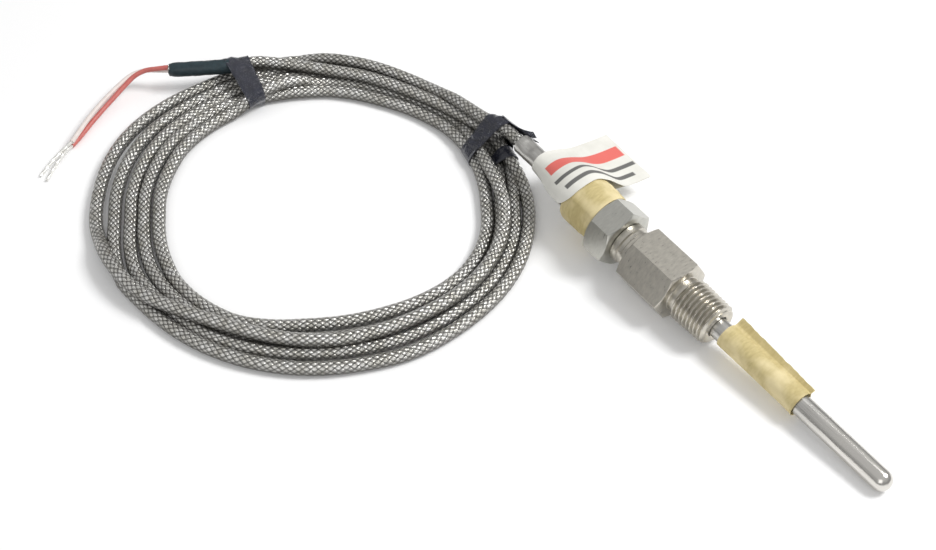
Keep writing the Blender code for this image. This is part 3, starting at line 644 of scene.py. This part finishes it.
def sheet(name, rows, thickness, material, wrap=False, sharp=50, facing=1):
    """A thin closed solid round a grid of points. Only the face on the facing side has UVs from 0 to 1."""
    other_uv = 3.0
    bm = bmesh.new()
    layer = bm.loops.layers.uv.new("UVMap")
    faces = []
    for side in (0.5 * facing, -0.5 * facing):
        grid = []
        for i, row in enumerate(rows):
            line = []
            for j, point in enumerate(row):
                line.append(bm.verts.new(point + sheet_normal(rows, i, j, wrap) * thickness * side))
            grid.append(line)
        faces.append(grid)
    top, bottom = faces
    height = len(rows)
    width = len(rows[0])
    columns = width if wrap else width - 1
    for i in range(height - 1):
        for j in range(columns):
            k = (j + 1) % width
            for grid, shift in ((top, 0.0), (bottom, other_uv)):
                face = bm.faces.new((grid[i][j], grid[i][k], grid[i + 1][k], grid[i + 1][j]))
                places = ((j, i), (j + 1, i), (j + 1, i + 1), (j, i + 1))
                for corner, (u, v) in zip(face.loops, places):
                    corner[layer].uv = (u / columns + shift, v / (height - 1) + shift)
    for j in range(columns):
        k = (j + 1) % width
        bm.faces.new((top[0][j], top[0][k], bottom[0][k], bottom[0][j]))
        bm.faces.new((top[-1][j], top[-1][k], bottom[-1][k], bottom[-1][j]))
    if not wrap:
        for i in range(height - 1):
            bm.faces.new((top[i][0], top[i + 1][0], bottom[i + 1][0], bottom[i][0]))
            bm.faces.new((top[i][-1], top[i + 1][-1], bottom[i + 1][-1], bottom[i][-1]))
    return finish_mesh(name, bm, material, sharp)


def settle(piece, slot, *replaced):
    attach(piece, "root")
    if replaced:
        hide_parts(*replaced)
    return piece


# Camera

def make_camera():
    data = bpy.data.cameras.new("camera")
    data.lens = camera_lens
    data.sensor_width = sensor_width
    data.clip_start = nearest_seen
    camera = place_object("camera", data)
    camera.location = at_base(*camera_place)
    camera.rotation_mode = "QUATERNION"
    camera.rotation_quaternion = camera_forward.to_track_quat("-Z", "Y")
    bpy.context.scene.camera = camera


# Braided lead

def turned(count, keys):
    return [(angle + 360 * count, radius, height) for angle, radius, height in keys]


def lane(edges, share):
    return [(angle, inner + (outer - inner) * share, lying) for angle, inner, outer in edges]


def lead_keys():
    """Keys of the whole coiled route: angle, then distance from the coil's centre and height."""
    keys = first_turn + lane(left_lanes, left_shares[4]) + riding_turn
    keys += [key for key in turned(1, lane(far_lanes, 1 / 3)) if low_span[0] < key[0] < low_span[1]]
    keys += crossing
    keys += [key for key in turned(1, lane(left_lanes, left_shares[0])) if key[0] > innermost_from]
    keys += turned(1, lane(near_lanes, 0.0))
    for count, (far_share, (angle, radius)) in later_turns.items():
        keys += turned(count, lane(far_lanes, far_share) + [(angle, radius, lying)])
        keys += turned(count, lane(left_lanes, left_shares[count - 1]))
        near = lane(near_lanes, (count - 1) / 3)
        keys += turned(count, [key for key in near if count < 4 or key[0] < last_turn_from])
    keys += turned(4, last_turn)
    return sorted(keys)


def lift(angle):
    """Extra height where a tie passes below the strands."""
    most = 0.0
    for tie_angle in (left_tie_angle, right_tie_angle):
        off = abs((angle - tie_angle + 180) % 360 - 180) / tie_lift_reach
        most = max(most, tie_lift * max(0.0, 1 - off * off))
    return most


def at_coil(angle, radius, height):
    turn = math.radians(angle)
    x = coil_centre[0] + radius * math.cos(turn)
    y = coil_centre[1] + radius * math.sin(turn)
    return at_base(x, y, height)


def coiled_route():
    """The lead's turns as angles and points."""
    keys = [(key[0], Vector(key[1:])) for key in lead_keys()]
    angles = []
    points = []
    angle = keys[0][0]
    while angle <= keys[-1][0]:
        radius, height = curve_point(keys, angle)
        angles.append(angle)
        points.append(at_coil(angle, radius, max(height, lying + lift(angle))))
        angle += lead_step
    return angles, points


def make_braid_tree():
    """Geometry nodes that draw a braided tube along a path, with one UV cell for each crossing."""
    tree = bpy.data.node_groups.new("braided_tube", "GeometryNodeTree")
    add_sockets(tree, {"Geometry": "Geometry", "Radius": "Float", "Sides": "Int", "Relief": "Float",
                       "Crossings Round": "Float", "Crossing Length": "Float",
                       "Material": "Material"}, "INPUT")
    add_sockets(tree, {"Geometry": "Geometry"}, "OUTPUT")
    given = node(tree, "NodeGroupInput").outputs
    curve = node(tree, "GeometryNodeMeshToCurve", {0: given["Geometry"]}).outputs[0]
    curve = node(tree, "GeometryNodeSetCurveNormal", {0: curve}, mode="Z_UP").outputs[0]
    on_path = node(tree, "GeometryNodeCaptureAttribute", {0: curve})
    on_path.capture_items.new("FLOAT", "Length")
    on_path.capture_items.new("VECTOR", "Centre")
    spline = node(tree, "GeometryNodeSplineParameter")
    tree.links.new(spline.outputs["Length"], on_path.inputs[1])
    tree.links.new(node(tree, "GeometryNodeInputPosition").outputs[0], on_path.inputs[2])
    arc = node(tree, "GeometryNodeCurveArc", {"Resolution": given["Sides"], "Radius": given["Radius"],
                                              "Sweep Angle": math.tau}, mode="RADIUS")
    on_arc = node(tree, "GeometryNodeCaptureAttribute", {0: arc.outputs[0]})
    on_arc.capture_items.new("FLOAT", "Turn")
    tree.links.new(node(tree, "GeometryNodeSplineParameter").outputs["Factor"], on_arc.inputs[1])
    tube = node(tree, "GeometryNodeCurveToMesh", {"Curve": on_path.outputs[0],
                                                  "Profile Curve": on_arc.outputs[0]}).outputs[0]
    across = maths(tree, "MULTIPLY", on_arc.outputs[1], given["Crossings Round"])
    along = maths(tree, "DIVIDE", on_path.outputs[1], given["Crossing Length"])
    waves = []
    for operation in ("ADD", "SUBTRACT"):
        diagonal = maths(tree, operation, across, along)
        waves.append(maths(tree, "SINE", maths(tree, "MULTIPLY", diagonal, math.pi)))
    crossing_height = maths(tree, "ABSOLUTE", maths(tree, "MULTIPLY", *waves))
    relief = maths(tree, "MULTIPLY", maths(tree, "POWER", crossing_height, 0.6), given["Relief"])
    relief = maths(tree, "SUBTRACT", relief, maths(tree, "MULTIPLY", given["Relief"], 0.5))
    place = node(tree, "GeometryNodeInputPosition").outputs[0]
    outward = node(tree, "ShaderNodeVectorMath", {0: place, 1: on_path.outputs[2]},
                   operation="SUBTRACT").outputs[0]
    outward = node(tree, "ShaderNodeVectorMath", {0: outward}, operation="NORMALIZE").outputs[0]
    shift = node(tree, "ShaderNodeVectorMath", {0: outward, "Scale": relief}, operation="SCALE").outputs[0]
    tube = node(tree, "GeometryNodeSetPosition", {"Geometry": tube, "Offset": shift}).outputs[0]
    uv = node(tree, "ShaderNodeCombineXYZ", {0: across, 1: along}).outputs[0]
    tube = node(tree, "GeometryNodeStoreNamedAttribute", {"Geometry": tube, "Name": "UVMap", "Value": uv},
                data_type="FLOAT2", domain="CORNER").outputs[0]
    tube = node(tree, "GeometryNodeMergeByDistance", {"Geometry": tube, "Distance": 1e-6}).outputs[0]
    tube = node(tree, "GeometryNodeSetShadeSmooth", {"Geometry": tube}).outputs[0]
    tube = node(tree, "GeometryNodeRealizeInstances", {"Geometry": tube}).outputs[0]
    tube = node(tree, "GeometryNodeSetMaterial", {"Geometry": tube, "Material": given["Material"]}).outputs[0]
    node(tree, "NodeGroupOutput", {0: tube})
    return tree


def grow(name, guide_points, tree, values):
    """A plain mesh from a path of points and a geometry nodes tree."""
    guide = bpy.data.meshes.new(name + "_path")
    guide.from_pydata(guide_points, [(i, i + 1) for i in range(len(guide_points) - 1)], [])
    carrier = place_object(name + "_path", guide)
    modifier = carrier.modifiers.new("grow", "NODES")
    modifier.node_group = tree
    for socket in tree.interface.items_tree:
        if socket.in_out == "INPUT" and socket.name in values:
            modifier[socket.identifier] = values[socket.name]
    depsgraph = bpy.context.evaluated_depsgraph_get()
    mesh = bpy.data.meshes.new_from_object(carrier.evaluated_get(depsgraph), preserve_all_data_layers=True,
                                           depsgraph=depsgraph)
    mesh.name = name
    bpy.data.objects.remove(carrier)
    return place_object(name, mesh)


def make_lead(points, tree):
    route = smooth_path([at_base(*point) for point in lead_exit], 3) + points
    values = {"Radius": lead_radius, "Sides": braid_sides, "Relief": braid_relief,
              "Crossings Round": crossings_round, "Crossing Length": crossing_length,
              "Material": materials["braid"]}
    lead = grow("braided_lead", route, tree, values)
    settle(lead, "braid", "lead_start", "lead_coil", "lead_end")
    return lead, route


# Ties

def hull(spots):
    """Convex hull of flat points, counter-clockwise."""
    spots = sorted(set(spots))

    def half(chain):
        line = []
        for spot in chain:
            while len(line) > 1:
                ax, ay = line[-1][0] - line[-2][0], line[-1][1] - line[-2][1]
                bx, by = spot[0] - line[-2][0], spot[1] - line[-2][1]
                if ax * by - ay * bx > 0:
                    break
                line.pop()
            line.append(spot)
        return line[:-1]
    return half(spots) + half(spots[::-1])


def spread_round(loop, count):
    """Evenly spaced points along a closed loop."""
    loop = loop + loop[:1]
    lengths = [0.0]
    for a, b in zip(loop, loop[1:]):
        lengths.append(lengths[-1] + math.dist(a, b))
    spots = []
    k = 0
    for i in range(count):
        target = lengths[-1] * i / count
        while lengths[k + 1] < target:
            k += 1
        share = (target - lengths[k]) / (lengths[k + 1] - lengths[k])
        spots.append(tuple(a + (b - a) * share for a, b in zip(loop[k], loop[k + 1])))
    return spots


def strands_at(angle, angles, points):
    """Distance from the coil's centre and height of each strand at an angle, in millimetres."""
    centre = at_base(*coil_centre, 0.0)
    found = []
    turn = angle
    while turn <= angles[-1]:
        if turn >= angles[0]:
            point = points[round((turn - angles[0]) / lead_step)]
            found.append(((point.xy - centre.xy).length / MM, point.z / MM))
        turn += 360
    return found


def tie_loop(angle, angles, points, holds):
    """The band's closed line round the strands at an angle, from its lowest middle."""
    reach = (lead_radius + tie_clearance + tie_thickness / 2) / MM
    spots = []
    for radius, height in filter(holds, strands_at(angle, angles, points)):
        for turn in round_angles(strand_sides):
            spot = (radius + reach * math.cos(turn), height + reach * math.sin(turn))
            spots.append((round(spot[0], 4), round(spot[1], 4)))
    loop = spread_round(hull(spots), tie_sides)
    start = min(range(tie_sides), key=lambda k: abs(loop[k][0] - band_middle[0]) + loop[k][1] * 4)
    return loop[start:] + loop[:start]


def make_tie(name, angle, angles, points, slack, width=tie_width, holds=None):
    """A band of film drawn round the strands, creased along its length."""
    rows = []
    half = math.degrees(width / 2 / coil_radius)
    for i in range(tie_steps + 1):
        share = i / tie_steps * 2 - 1
        here = angle + half * share
        middle = at_coil(here, *band_middle)
        row = []
        for k, (radius, height) in enumerate(tie_loop(here, angles, points, holds)):
            place = at_coil(here, radius, height)
            crease = noise.noise(place * 420 + Vector((slack, 0.0, 0.0))) * 0.30
            fold = abs(noise.noise(place * 260 + Vector((0.0, slack, 0.0)))) * 0.9
            ripple = math.sin(share * 9 + k * 0.11) * 0.12
            upper = min(1.0, max(0.0, (height - crease_from) / (crease_full - crease_from)))
            push = (crease + fold + ripple) * slack * upper * MM
            row.append(place + (place - middle).normalized() * push)
        rows.append(row)
    return sheet(name, rows, tie_thickness, "film", wrap=True)


def outer_strand(strand):
    """True for the strands that the right tie's second turn holds."""
    radius, height = strand
    return radius > 58.5 and height < 10


def tail_rows(root, heading, length, width, rise, curl, teeth):
    """A loose end of film that stands out on edge, curled, with a toothed end."""
    turn = math.radians(heading)
    forward = Vector((math.cos(turn), math.sin(turn), 0.0))
    side = Vector((-math.sin(turn), math.cos(turn), 0.0))
    rows = []
    for i in range(tail_steps + 1):
        along = i / tail_steps
        row = []
        for j in range(tail_steps + 1):
            across = j / tail_steps * 2 - 1
            notch = abs((j / tail_steps * teeth) % 1 - 0.5) * 2
            point = at_coil(*root) + forward * length * (along - 0.16 * notch * along ** 6)
            point += side * (math.sin(across * 3.1 + along * 4) * curl)
            point.z += width / 2 * across * (1 - 0.15 * along) + rise * along
            row.append(point)
        rows.append(row)
    return rows


def make_ties(angles, points):
    """Both ties, the right one's second turn and the loose ends."""
    left = make_tie("left_tie", left_tie_angle, angles, points, 1.0)
    right = make_tie("right_tie", right_tie_angle, angles, points, 1.2)
    second = make_tie("right_tie_second_turn", second_turn_angle, angles, points, 0.8, second_turn_width,
                      outer_strand)
    settle(left, "tie_film", "coil_tie_left")
    settle(right, "tie_film", "coil_tie_right")
    film = []
    for name, shape in (("left_tie_tail", left_tail), ("right_tie_tail", right_tail)):
        tail = sheet(name, tail_rows(*shape), tail_thickness, "film")
        film.append(settle(tail, "tie_film"))
    return film + [settle(second, "tie_film"), left, right]


# Sleeve and wires

def outwards(path, i, turn):
    """Unit vector out from a path at one of its points, level at 0."""
    before = path[max(i - 1, 0)]
    after = path[min(i + 1, len(path) - 1)]
    along = (after - before).normalized()
    level = Vector((-along.y, along.x, 0.0)).normalized()
    return level * math.cos(turn) + along.cross(level) * math.sin(turn)


def make_sleeve(route):
    """Shrink sleeve that narrows from the braid on to the two wires."""
    lengths = path_lengths(route)
    start = next(i for i, length in enumerate(lengths) if length > lengths[-1] - sleeve_length)
    path = route[start:]
    lengths = path_lengths(path)
    turns = round_angles(sleeve_sides)
    rings = []
    for i, point in enumerate(path):
        along = lengths[i] / lengths[-1]
        narrowed = max(0.0, (along - sleeve_narrow_from) / (1 - sleeve_narrow_from)) ** 2
        flared = max(0.0, 1 - along / sleeve_flare_share)
        radius = sleeve_radius - sleeve_narrowing * narrowed + sleeve_flare * flared
        ring = []
        for turn in turns:
            wrinkle = noise.noise(Vector((math.cos(turn) * 1.4, math.sin(turn) * 1.4, along * 9)))
            ring.append(point + outwards(path, i, turn) * (radius + sleeve_wrinkle * wrinkle) * MM)
        rings.append(ring)
    for place, radius in sleeve_inside:
        i = place % len(path)
        rings.append([path[i] + outwards(path, i, turn) * radius * MM for turn in turns])
    sleeve = skin("shrink_sleeve", rings, "sleeve", True, 50)
    return settle(sleeve, "shrink_sleeve", "end_sleeve")


def make_wire(name, points, material):
    data = bpy.data.curves.new(name, "CURVE")
    data.dimensions = "3D"
    data.bevel_depth = wire_radius
    data.bevel_resolution = 5
    data.use_fill_caps = True
    spline = data.splines.new("POLY")
    spline.points.add(len(points) - 1)
    for spot, point in zip(spline.points, points):
        spot.co = (*point, 1.0)
    data.materials.append(materials[material])
    return place_object(name, data)


def make_bare_end(name, points):
    """The stripped end of a wire: a few strands twisted together."""
    path = smooth_path(points, 14)
    lengths = path_lengths(path)
    rings = []
    for i, point in enumerate(path):
        lay = lengths[i] / strand_lay * math.tau
        radius = bare_radius * (1 - bare_narrowing * (lengths[i] / lengths[-1]) ** 4)
        ring = []
        for turn in round_angles(bare_sides):
            lobes = 1 + strand_relief * math.cos(strand_count * turn - lay)
            ring.append(point + outwards(path, i, turn) * radius * lobes)
        rings.append(ring)
    return skin(name, rings, "tinned", False, 50)


def make_wires():
    """Two insulated wires that twist half a turn about each other, with stripped ends."""
    middle = smooth_path([at_base(*point) for point in wire_route], 5)
    middle.insert(0, middle[0] - (middle[1] - middle[0]).normalized() * wire_lead_in)
    cords = []
    for colour, side, bare_route in (("red", 1, red_bare_route), ("white", -1, white_bare_route)):
        points = []
        for i, point in enumerate(middle):
            turn = wire_twist[0] + (wire_twist[1] - wire_twist[0]) * i / (len(middle) - 1)
            points.append(point + outwards(middle, i, turn) * side * wire_spacing)
        wire = make_wire(colour + "_wire_insulation", points, colour)
        settle(wire, colour + "_insulation", colour + "_wire")
        bare_points = [points[-2]] + [at_base(*point) for point in bare_route]
        bare = make_bare_end(colour + "_bare_end_strands", bare_points)
        settle(bare, "thermoelement", colour + "_bare_end")
        cords.append((wire, bare, points))
    return cords


# Rigid probe

def dent(point, station, angle):
    """Move a point inwards where the tube is crimped on to its plug."""
    along = abs(station - dent_station) / (dent_length / 2)
    round_it = abs(angle - dent_angle) / dent_spread
    if along >= 1 or round_it >= 1:
        return point
    depth = dent_depth * math.cos(along * math.pi / 2) ** 2 * math.cos(round_it * math.pi / 2) ** 2
    middle = about_axis(station, 0.0, 0.0)
    return point + (middle - point).normalized() * depth


def tube_ring(station, radius):
    return [dent(about_axis(station, angle, radius), station, angle) for angle in round_angles(64)]


def make_tube():
    """The tube with its round tip, crimped and bored near its rear end."""
    rings = []
    for i in range(1, tip_rings + 1):
        turn = i / tip_rings * math.pi / 2
        rings.append(tube_ring(tube_radius * (1 - math.cos(turn)), tube_radius * math.sin(turn)))
    station = first_tube_ring
    while station < tube_length - tube_rim_room:
        rings.append(tube_ring(station, tube_radius))
        station += tube_ring_gap if station < dent_rings_from else dent_ring_gap
    for from_rear, radius in tube_mouth:
        rings.append(tube_ring(tube_length - from_rear * MM, radius * MM))
    tube = skin("protective_tube", rings, "tube", False, 40)
    return settle(tube, "polished_steel", "sheath_tube")


def hexagon(angle, start, cap):
    """Radius of a hexagon with a corner at the start angle, nowhere more than the cap."""
    off_corner = (angle - start) % (math.pi / 3)
    return min(cap, half_flats / math.cos(off_corner - math.pi / 6))


def plain_rings(profile, start=0.0):
    """Round rings through a table of stations and radii in millimetres."""
    angles = [start + angle for angle in round_angles(fine_sides)]
    return [[about_axis(station * MM, angle, radius * MM) for angle in angles] for station, radius in profile]


def hex_rings(front, rear, start=0.0):
    """Rings of a hexagon with its corners turned off in a cone at both ends."""
    corner = half_flats / math.cos(math.pi / 6) + corner_room
    insets = [chamfer_length * i / chamfer_steps for i in range(chamfer_steps + 1)]
    stations = [front + inset for inset in insets] + [rear - inset for inset in reversed(insets)]
    rings = []
    for station in stations:
        inwards = min(station - front, rear - station) / chamfer_length
        cap = chamfer_radius + (corner - chamfer_radius) * inwards
        angles = [start + angle for angle in round_angles(fine_sides)]
        rings.append([about_axis(station, angle, hexagon(angle, start, cap)) for angle in angles])
    return rings


def thread_radius(station, angle):
    """Radius of the right-handed taper thread, run out at both ends."""
    crest = thread_small_radius + (station - thread_front) * thread_taper
    phase = (station / thread_pitch - angle / math.tau) % 1
    flank = min(1.0, max(0.0, (abs(2 * phase - 1) - thread_flat) / (1 - 2 * thread_flat)))
    radius = crest - thread_depth * flank
    front_cap = thread_small_radius - thread_depth + (station - thread_front) * thread_run_in
    rear_cap = relief_radius + max(0.0, thread_rear - station) * thread_run_out
    return max(min(radius, front_cap, rear_cap), thread_lowest)


def make_body():
    """Thread, hexagon and waist, bored through."""
    rings = plain_rings(body_front)
    angles = round_angles(fine_sides)
    for i in range(thread_rings + 1):
        station = thread_front + (thread_rear - thread_front) * i / thread_rings
        rings.append([about_axis(station, angle, thread_radius(station, angle)) for angle in angles])
    rings += plain_rings(body_relief) + hex_rings(*body_hex) + plain_rings(body_waist)
    body = skin("fitting_body_detail", rings, "turned", True, 32)
    return settle(body, "satin_steel", "fitting_body")


def make_nut():
    """Hexagon and round hub, bored through."""
    rings = plain_rings(nut_front, nut_turn) + hex_rings(*nut_hex, nut_turn) + plain_rings(nut_hub, nut_turn)
    nut = skin("gland_nut_detail", rings, "nut", True, 32)
    return settle(nut, "satin_steel", "gland_nut")


def neck_wraps(share):
    """Height of the wraps along the neck tape: the second starts further back, the rear edge is rounded."""
    first = first_wrap * min(1.0, share * first_wrap_slope)
    second = second_wrap * min(1.0, max(0.0, share - second_wrap_start) * second_wrap_slope)
    drop = rear_edge_drop * max(0.0, (share - rear_edge_start) / (1 - rear_edge_start))
    return first + second - drop


def make_neck_tape():
    """Masking tape in several wraps that don't quite lie on each other."""
    front, rear = neck_tape
    angles = round_angles(neck_tape_sides)
    rings = []
    for i in range(neck_tape_rings + 1):
        share = i / neck_tape_rings
        ring = []
        for angle in angles:
            lap = ((angle - lap_angle) % math.tau) / math.tau
            wave = noise.noise(Vector((math.cos(angle) * 2, math.sin(angle) * 2, share * 5)))
            radius = neck_tape_core + neck_wraps(share) - lap_step * lap + neck_tape_wave * wave
            ring.append(about_axis(front + (rear - front) * share, angle, radius, neck_tape_shift))
        rings.append(ring)
    for station in (rear, front):
        rings.append([about_axis(station, angle, neck_tape_inner, neck_tape_shift) for angle in angles])
    tape = skin("neck_masking_tape", rings, "tape", True, 45)
    return settle(tape, "masking_tape", "neck_tape")


def fin_layer(station, side, reach, curl):
    """Points of one layer of the fin, from its edge to the tube."""
    points = []
    for k in range(fin_steps):
        share = k / fin_steps
        height = reach + (fin_root - reach) * share
        spread = fin_gap / 2 + curl * (1 - share)
        points.append(about_axis(station, fin_angle + side * spread / height, height))
    return points


def make_rod_tape():
    """Masking tape looped round the tube, its two ends stuck together as a fin."""
    front, rear = rod_tape
    rows = []
    for i in range(rod_tape_rings + 1):
        share = i / rod_tape_rings
        station = front + (rear - front) * share
        reach = fin_reach[0] + (fin_reach[1] - fin_reach[0]) * share
        reach += noise.noise(Vector((share * 14, 3.0, 0.0))) * fin_wave
        curl = fin_curl * max(0.0, 1 - share / fin_curl_share) ** 2
        row = fin_layer(station, 1, reach, curl)
        for k in range(rod_tape_sides + 1):
            angle = fin_angle + rod_tape_gap + (math.tau - 2 * rod_tape_gap) * k / rod_tape_sides
            wave = noise.noise(Vector((math.cos(angle) * 3, math.sin(angle) * 3, share * 22)))
            radius = rod_tape_radius + rod_tape_wave * wave + curl * loop_curl
            row.append(about_axis(station, angle, radius))
        row += reversed(fin_layer(station, -1, reach - lower_layer_back, curl * lower_layer_curl))
        rows.append(row)
    tape = sheet("rod_masking_tape", rows, rod_tape_thickness, "tape")
    return settle(tape, "masking_tape", "rod_tape")


def local_point(station, angle, radius):
    return Vector((tube_radius - station, -radius * math.cos(angle), radius * math.sin(angle)))


def make_label():
    """Paper folded round the tube, its two layers standing out to the far side."""
    front_points = []
    for angle, height, behind in label_front_edge:
        station = neck_tape[1] + behind * MM
        front_points.append(local_point(station, math.radians(angle), neck_tape_radius + height * MM))
    rear_points = []
    for angle, height in label_rear_edge:
        rear_points.append(local_point(label_rear, math.radians(angle), tube_radius + height * MM))
    front = smooth_path(front_points, label_points_per_span)
    rear = smooth_path(rear_points, label_points_per_span)
    rows = []
    for i in range(label_rings + 1):
        share = i / label_rings
        eased = max(0.0, (share - label_flat_share) / (1 - label_flat_share))
        eased = eased * eased * (3 - 2 * eased)
        row = []
        for j, (a, b) in enumerate(zip(front, rear)):
            point = a.lerp(b, eased)
            point.x = a.x + (b.x - a.x) * share
            crumple = noise.noise(Vector((share * 3.0, j * 0.045, 7.0))) * label_crumple
            point += Vector((0.0, -point.y, -point.z)).normalized() * crumple
            row.append(axis_matrix @ point)
        rows.append(row)
    label = sheet("folded_label", rows, paper_thickness, "paper", sharp=60, facing=-1)
    return settle(label, "paper", "paper_label")


def dress_cad_nodes():
    """Materials of the CAD nodes that stay: what sits inside tube and fitting."""
    finishes = {"positive_element": "element", "negative_element": "element", "junction_bead": "element",
                "potting_plug": "potting", "front_ferrule": "ferrule", "back_ferrule": "ferrule"}
    for count in range(1, 6):
        finishes[f"insulator_{count}"] = "ceramic"
    for name, finish in finishes.items():
        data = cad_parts[name].data
        data.materials.clear()
        data.materials.append(materials[finish])


# Floor and light

def make_floor():
    """White floor that glows a little, more so further away."""
    white = (1.0, 1.0, 1.0, 1.0)
    made, tree, shader = new_material("floor", Base_Color=(0.93, 0.93, 0.93, 1.0), Roughness=0.9,
                                      Specular_IOR_Level=0.1, Emission_Color=white)
    path = node(tree, "ShaderNodeLightPath").outputs
    seen = maths(tree, "MAXIMUM", path["Is Camera Ray"], path["Is Glossy Ray"])
    seen = maths(tree, "MAXIMUM", seen, path["Is Transmission Ray"])
    place = node(tree, "ShaderNodeTexCoord").outputs["Object"]
    far = node(tree, "ShaderNodeVectorMath", {0: place}, operation="LENGTH").outputs["Value"]
    glow = ranged(tree, far, glow_near[0], glow_far[0], glow_near[1], glow_far[1])
    tree.links.new(maths(tree, "MULTIPLY", seen, glow), shader.inputs["Emission Strength"])
    bm = bmesh.new()
    bmesh.ops.create_grid(bm, x_segments=1, y_segments=1, size=floor_size / 2)
    mesh = bpy.data.meshes.new("floor")
    bm.to_mesh(mesh)
    bm.free()
    mesh.materials.append(made)
    floor = place_object("floor", mesh)
    floor.location.z = -floor_drop


def make_lamp(name, place, width, power):
    data = bpy.data.lights.new(name, "AREA")
    data.shape = "SQUARE"
    data.size = width
    data.energy = power
    lamp = place_object(name, data)
    lamp.location = place
    lamp.rotation_mode = "QUATERNION"
    lamp.rotation_quaternion = (Vector(lamp_target) - Vector(place)).to_track_quat("-Z", "Y")


def make_world():
    """Soft light from above, darker towards the horizon."""
    world = bpy.data.worlds.new("studio")
    bpy.context.scene.world = world
    world.use_nodes = True
    tree = world.node_tree
    background = tree.nodes["Background"]
    source = node(tree, "ShaderNodeTexCoord").outputs["Generated"]
    up = node(tree, "ShaderNodeSeparateXYZ", {0: source}).outputs[2]
    light = ranged(tree, up, sky_level[0], sky_high[0], sky_level[1], sky_high[1])
    tree.links.new(light, background.inputs["Strength"])
    background.inputs["Color"].default_value = (1.0, 1.0, 1.0, 1.0)


def make_lights():
    make_world()
    for lamp in lamps:
        make_lamp(*lamp)


def main():
    bpy.context.scene.view_settings.view_transform = "Standard"
    make_camera()
    angles, points = coiled_route()
    lead, route = make_lead(points, make_braid_tree())
    sleeve = make_sleeve(route)
    film = make_ties(angles, points)
    for wire, bare, path in make_wires():
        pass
    make_tube()
    make_body()
    make_nut()
    make_neck_tape()
    make_rod_tape()
    make_label()
    dress_cad_nodes()
    make_floor()
    make_lights()


main()
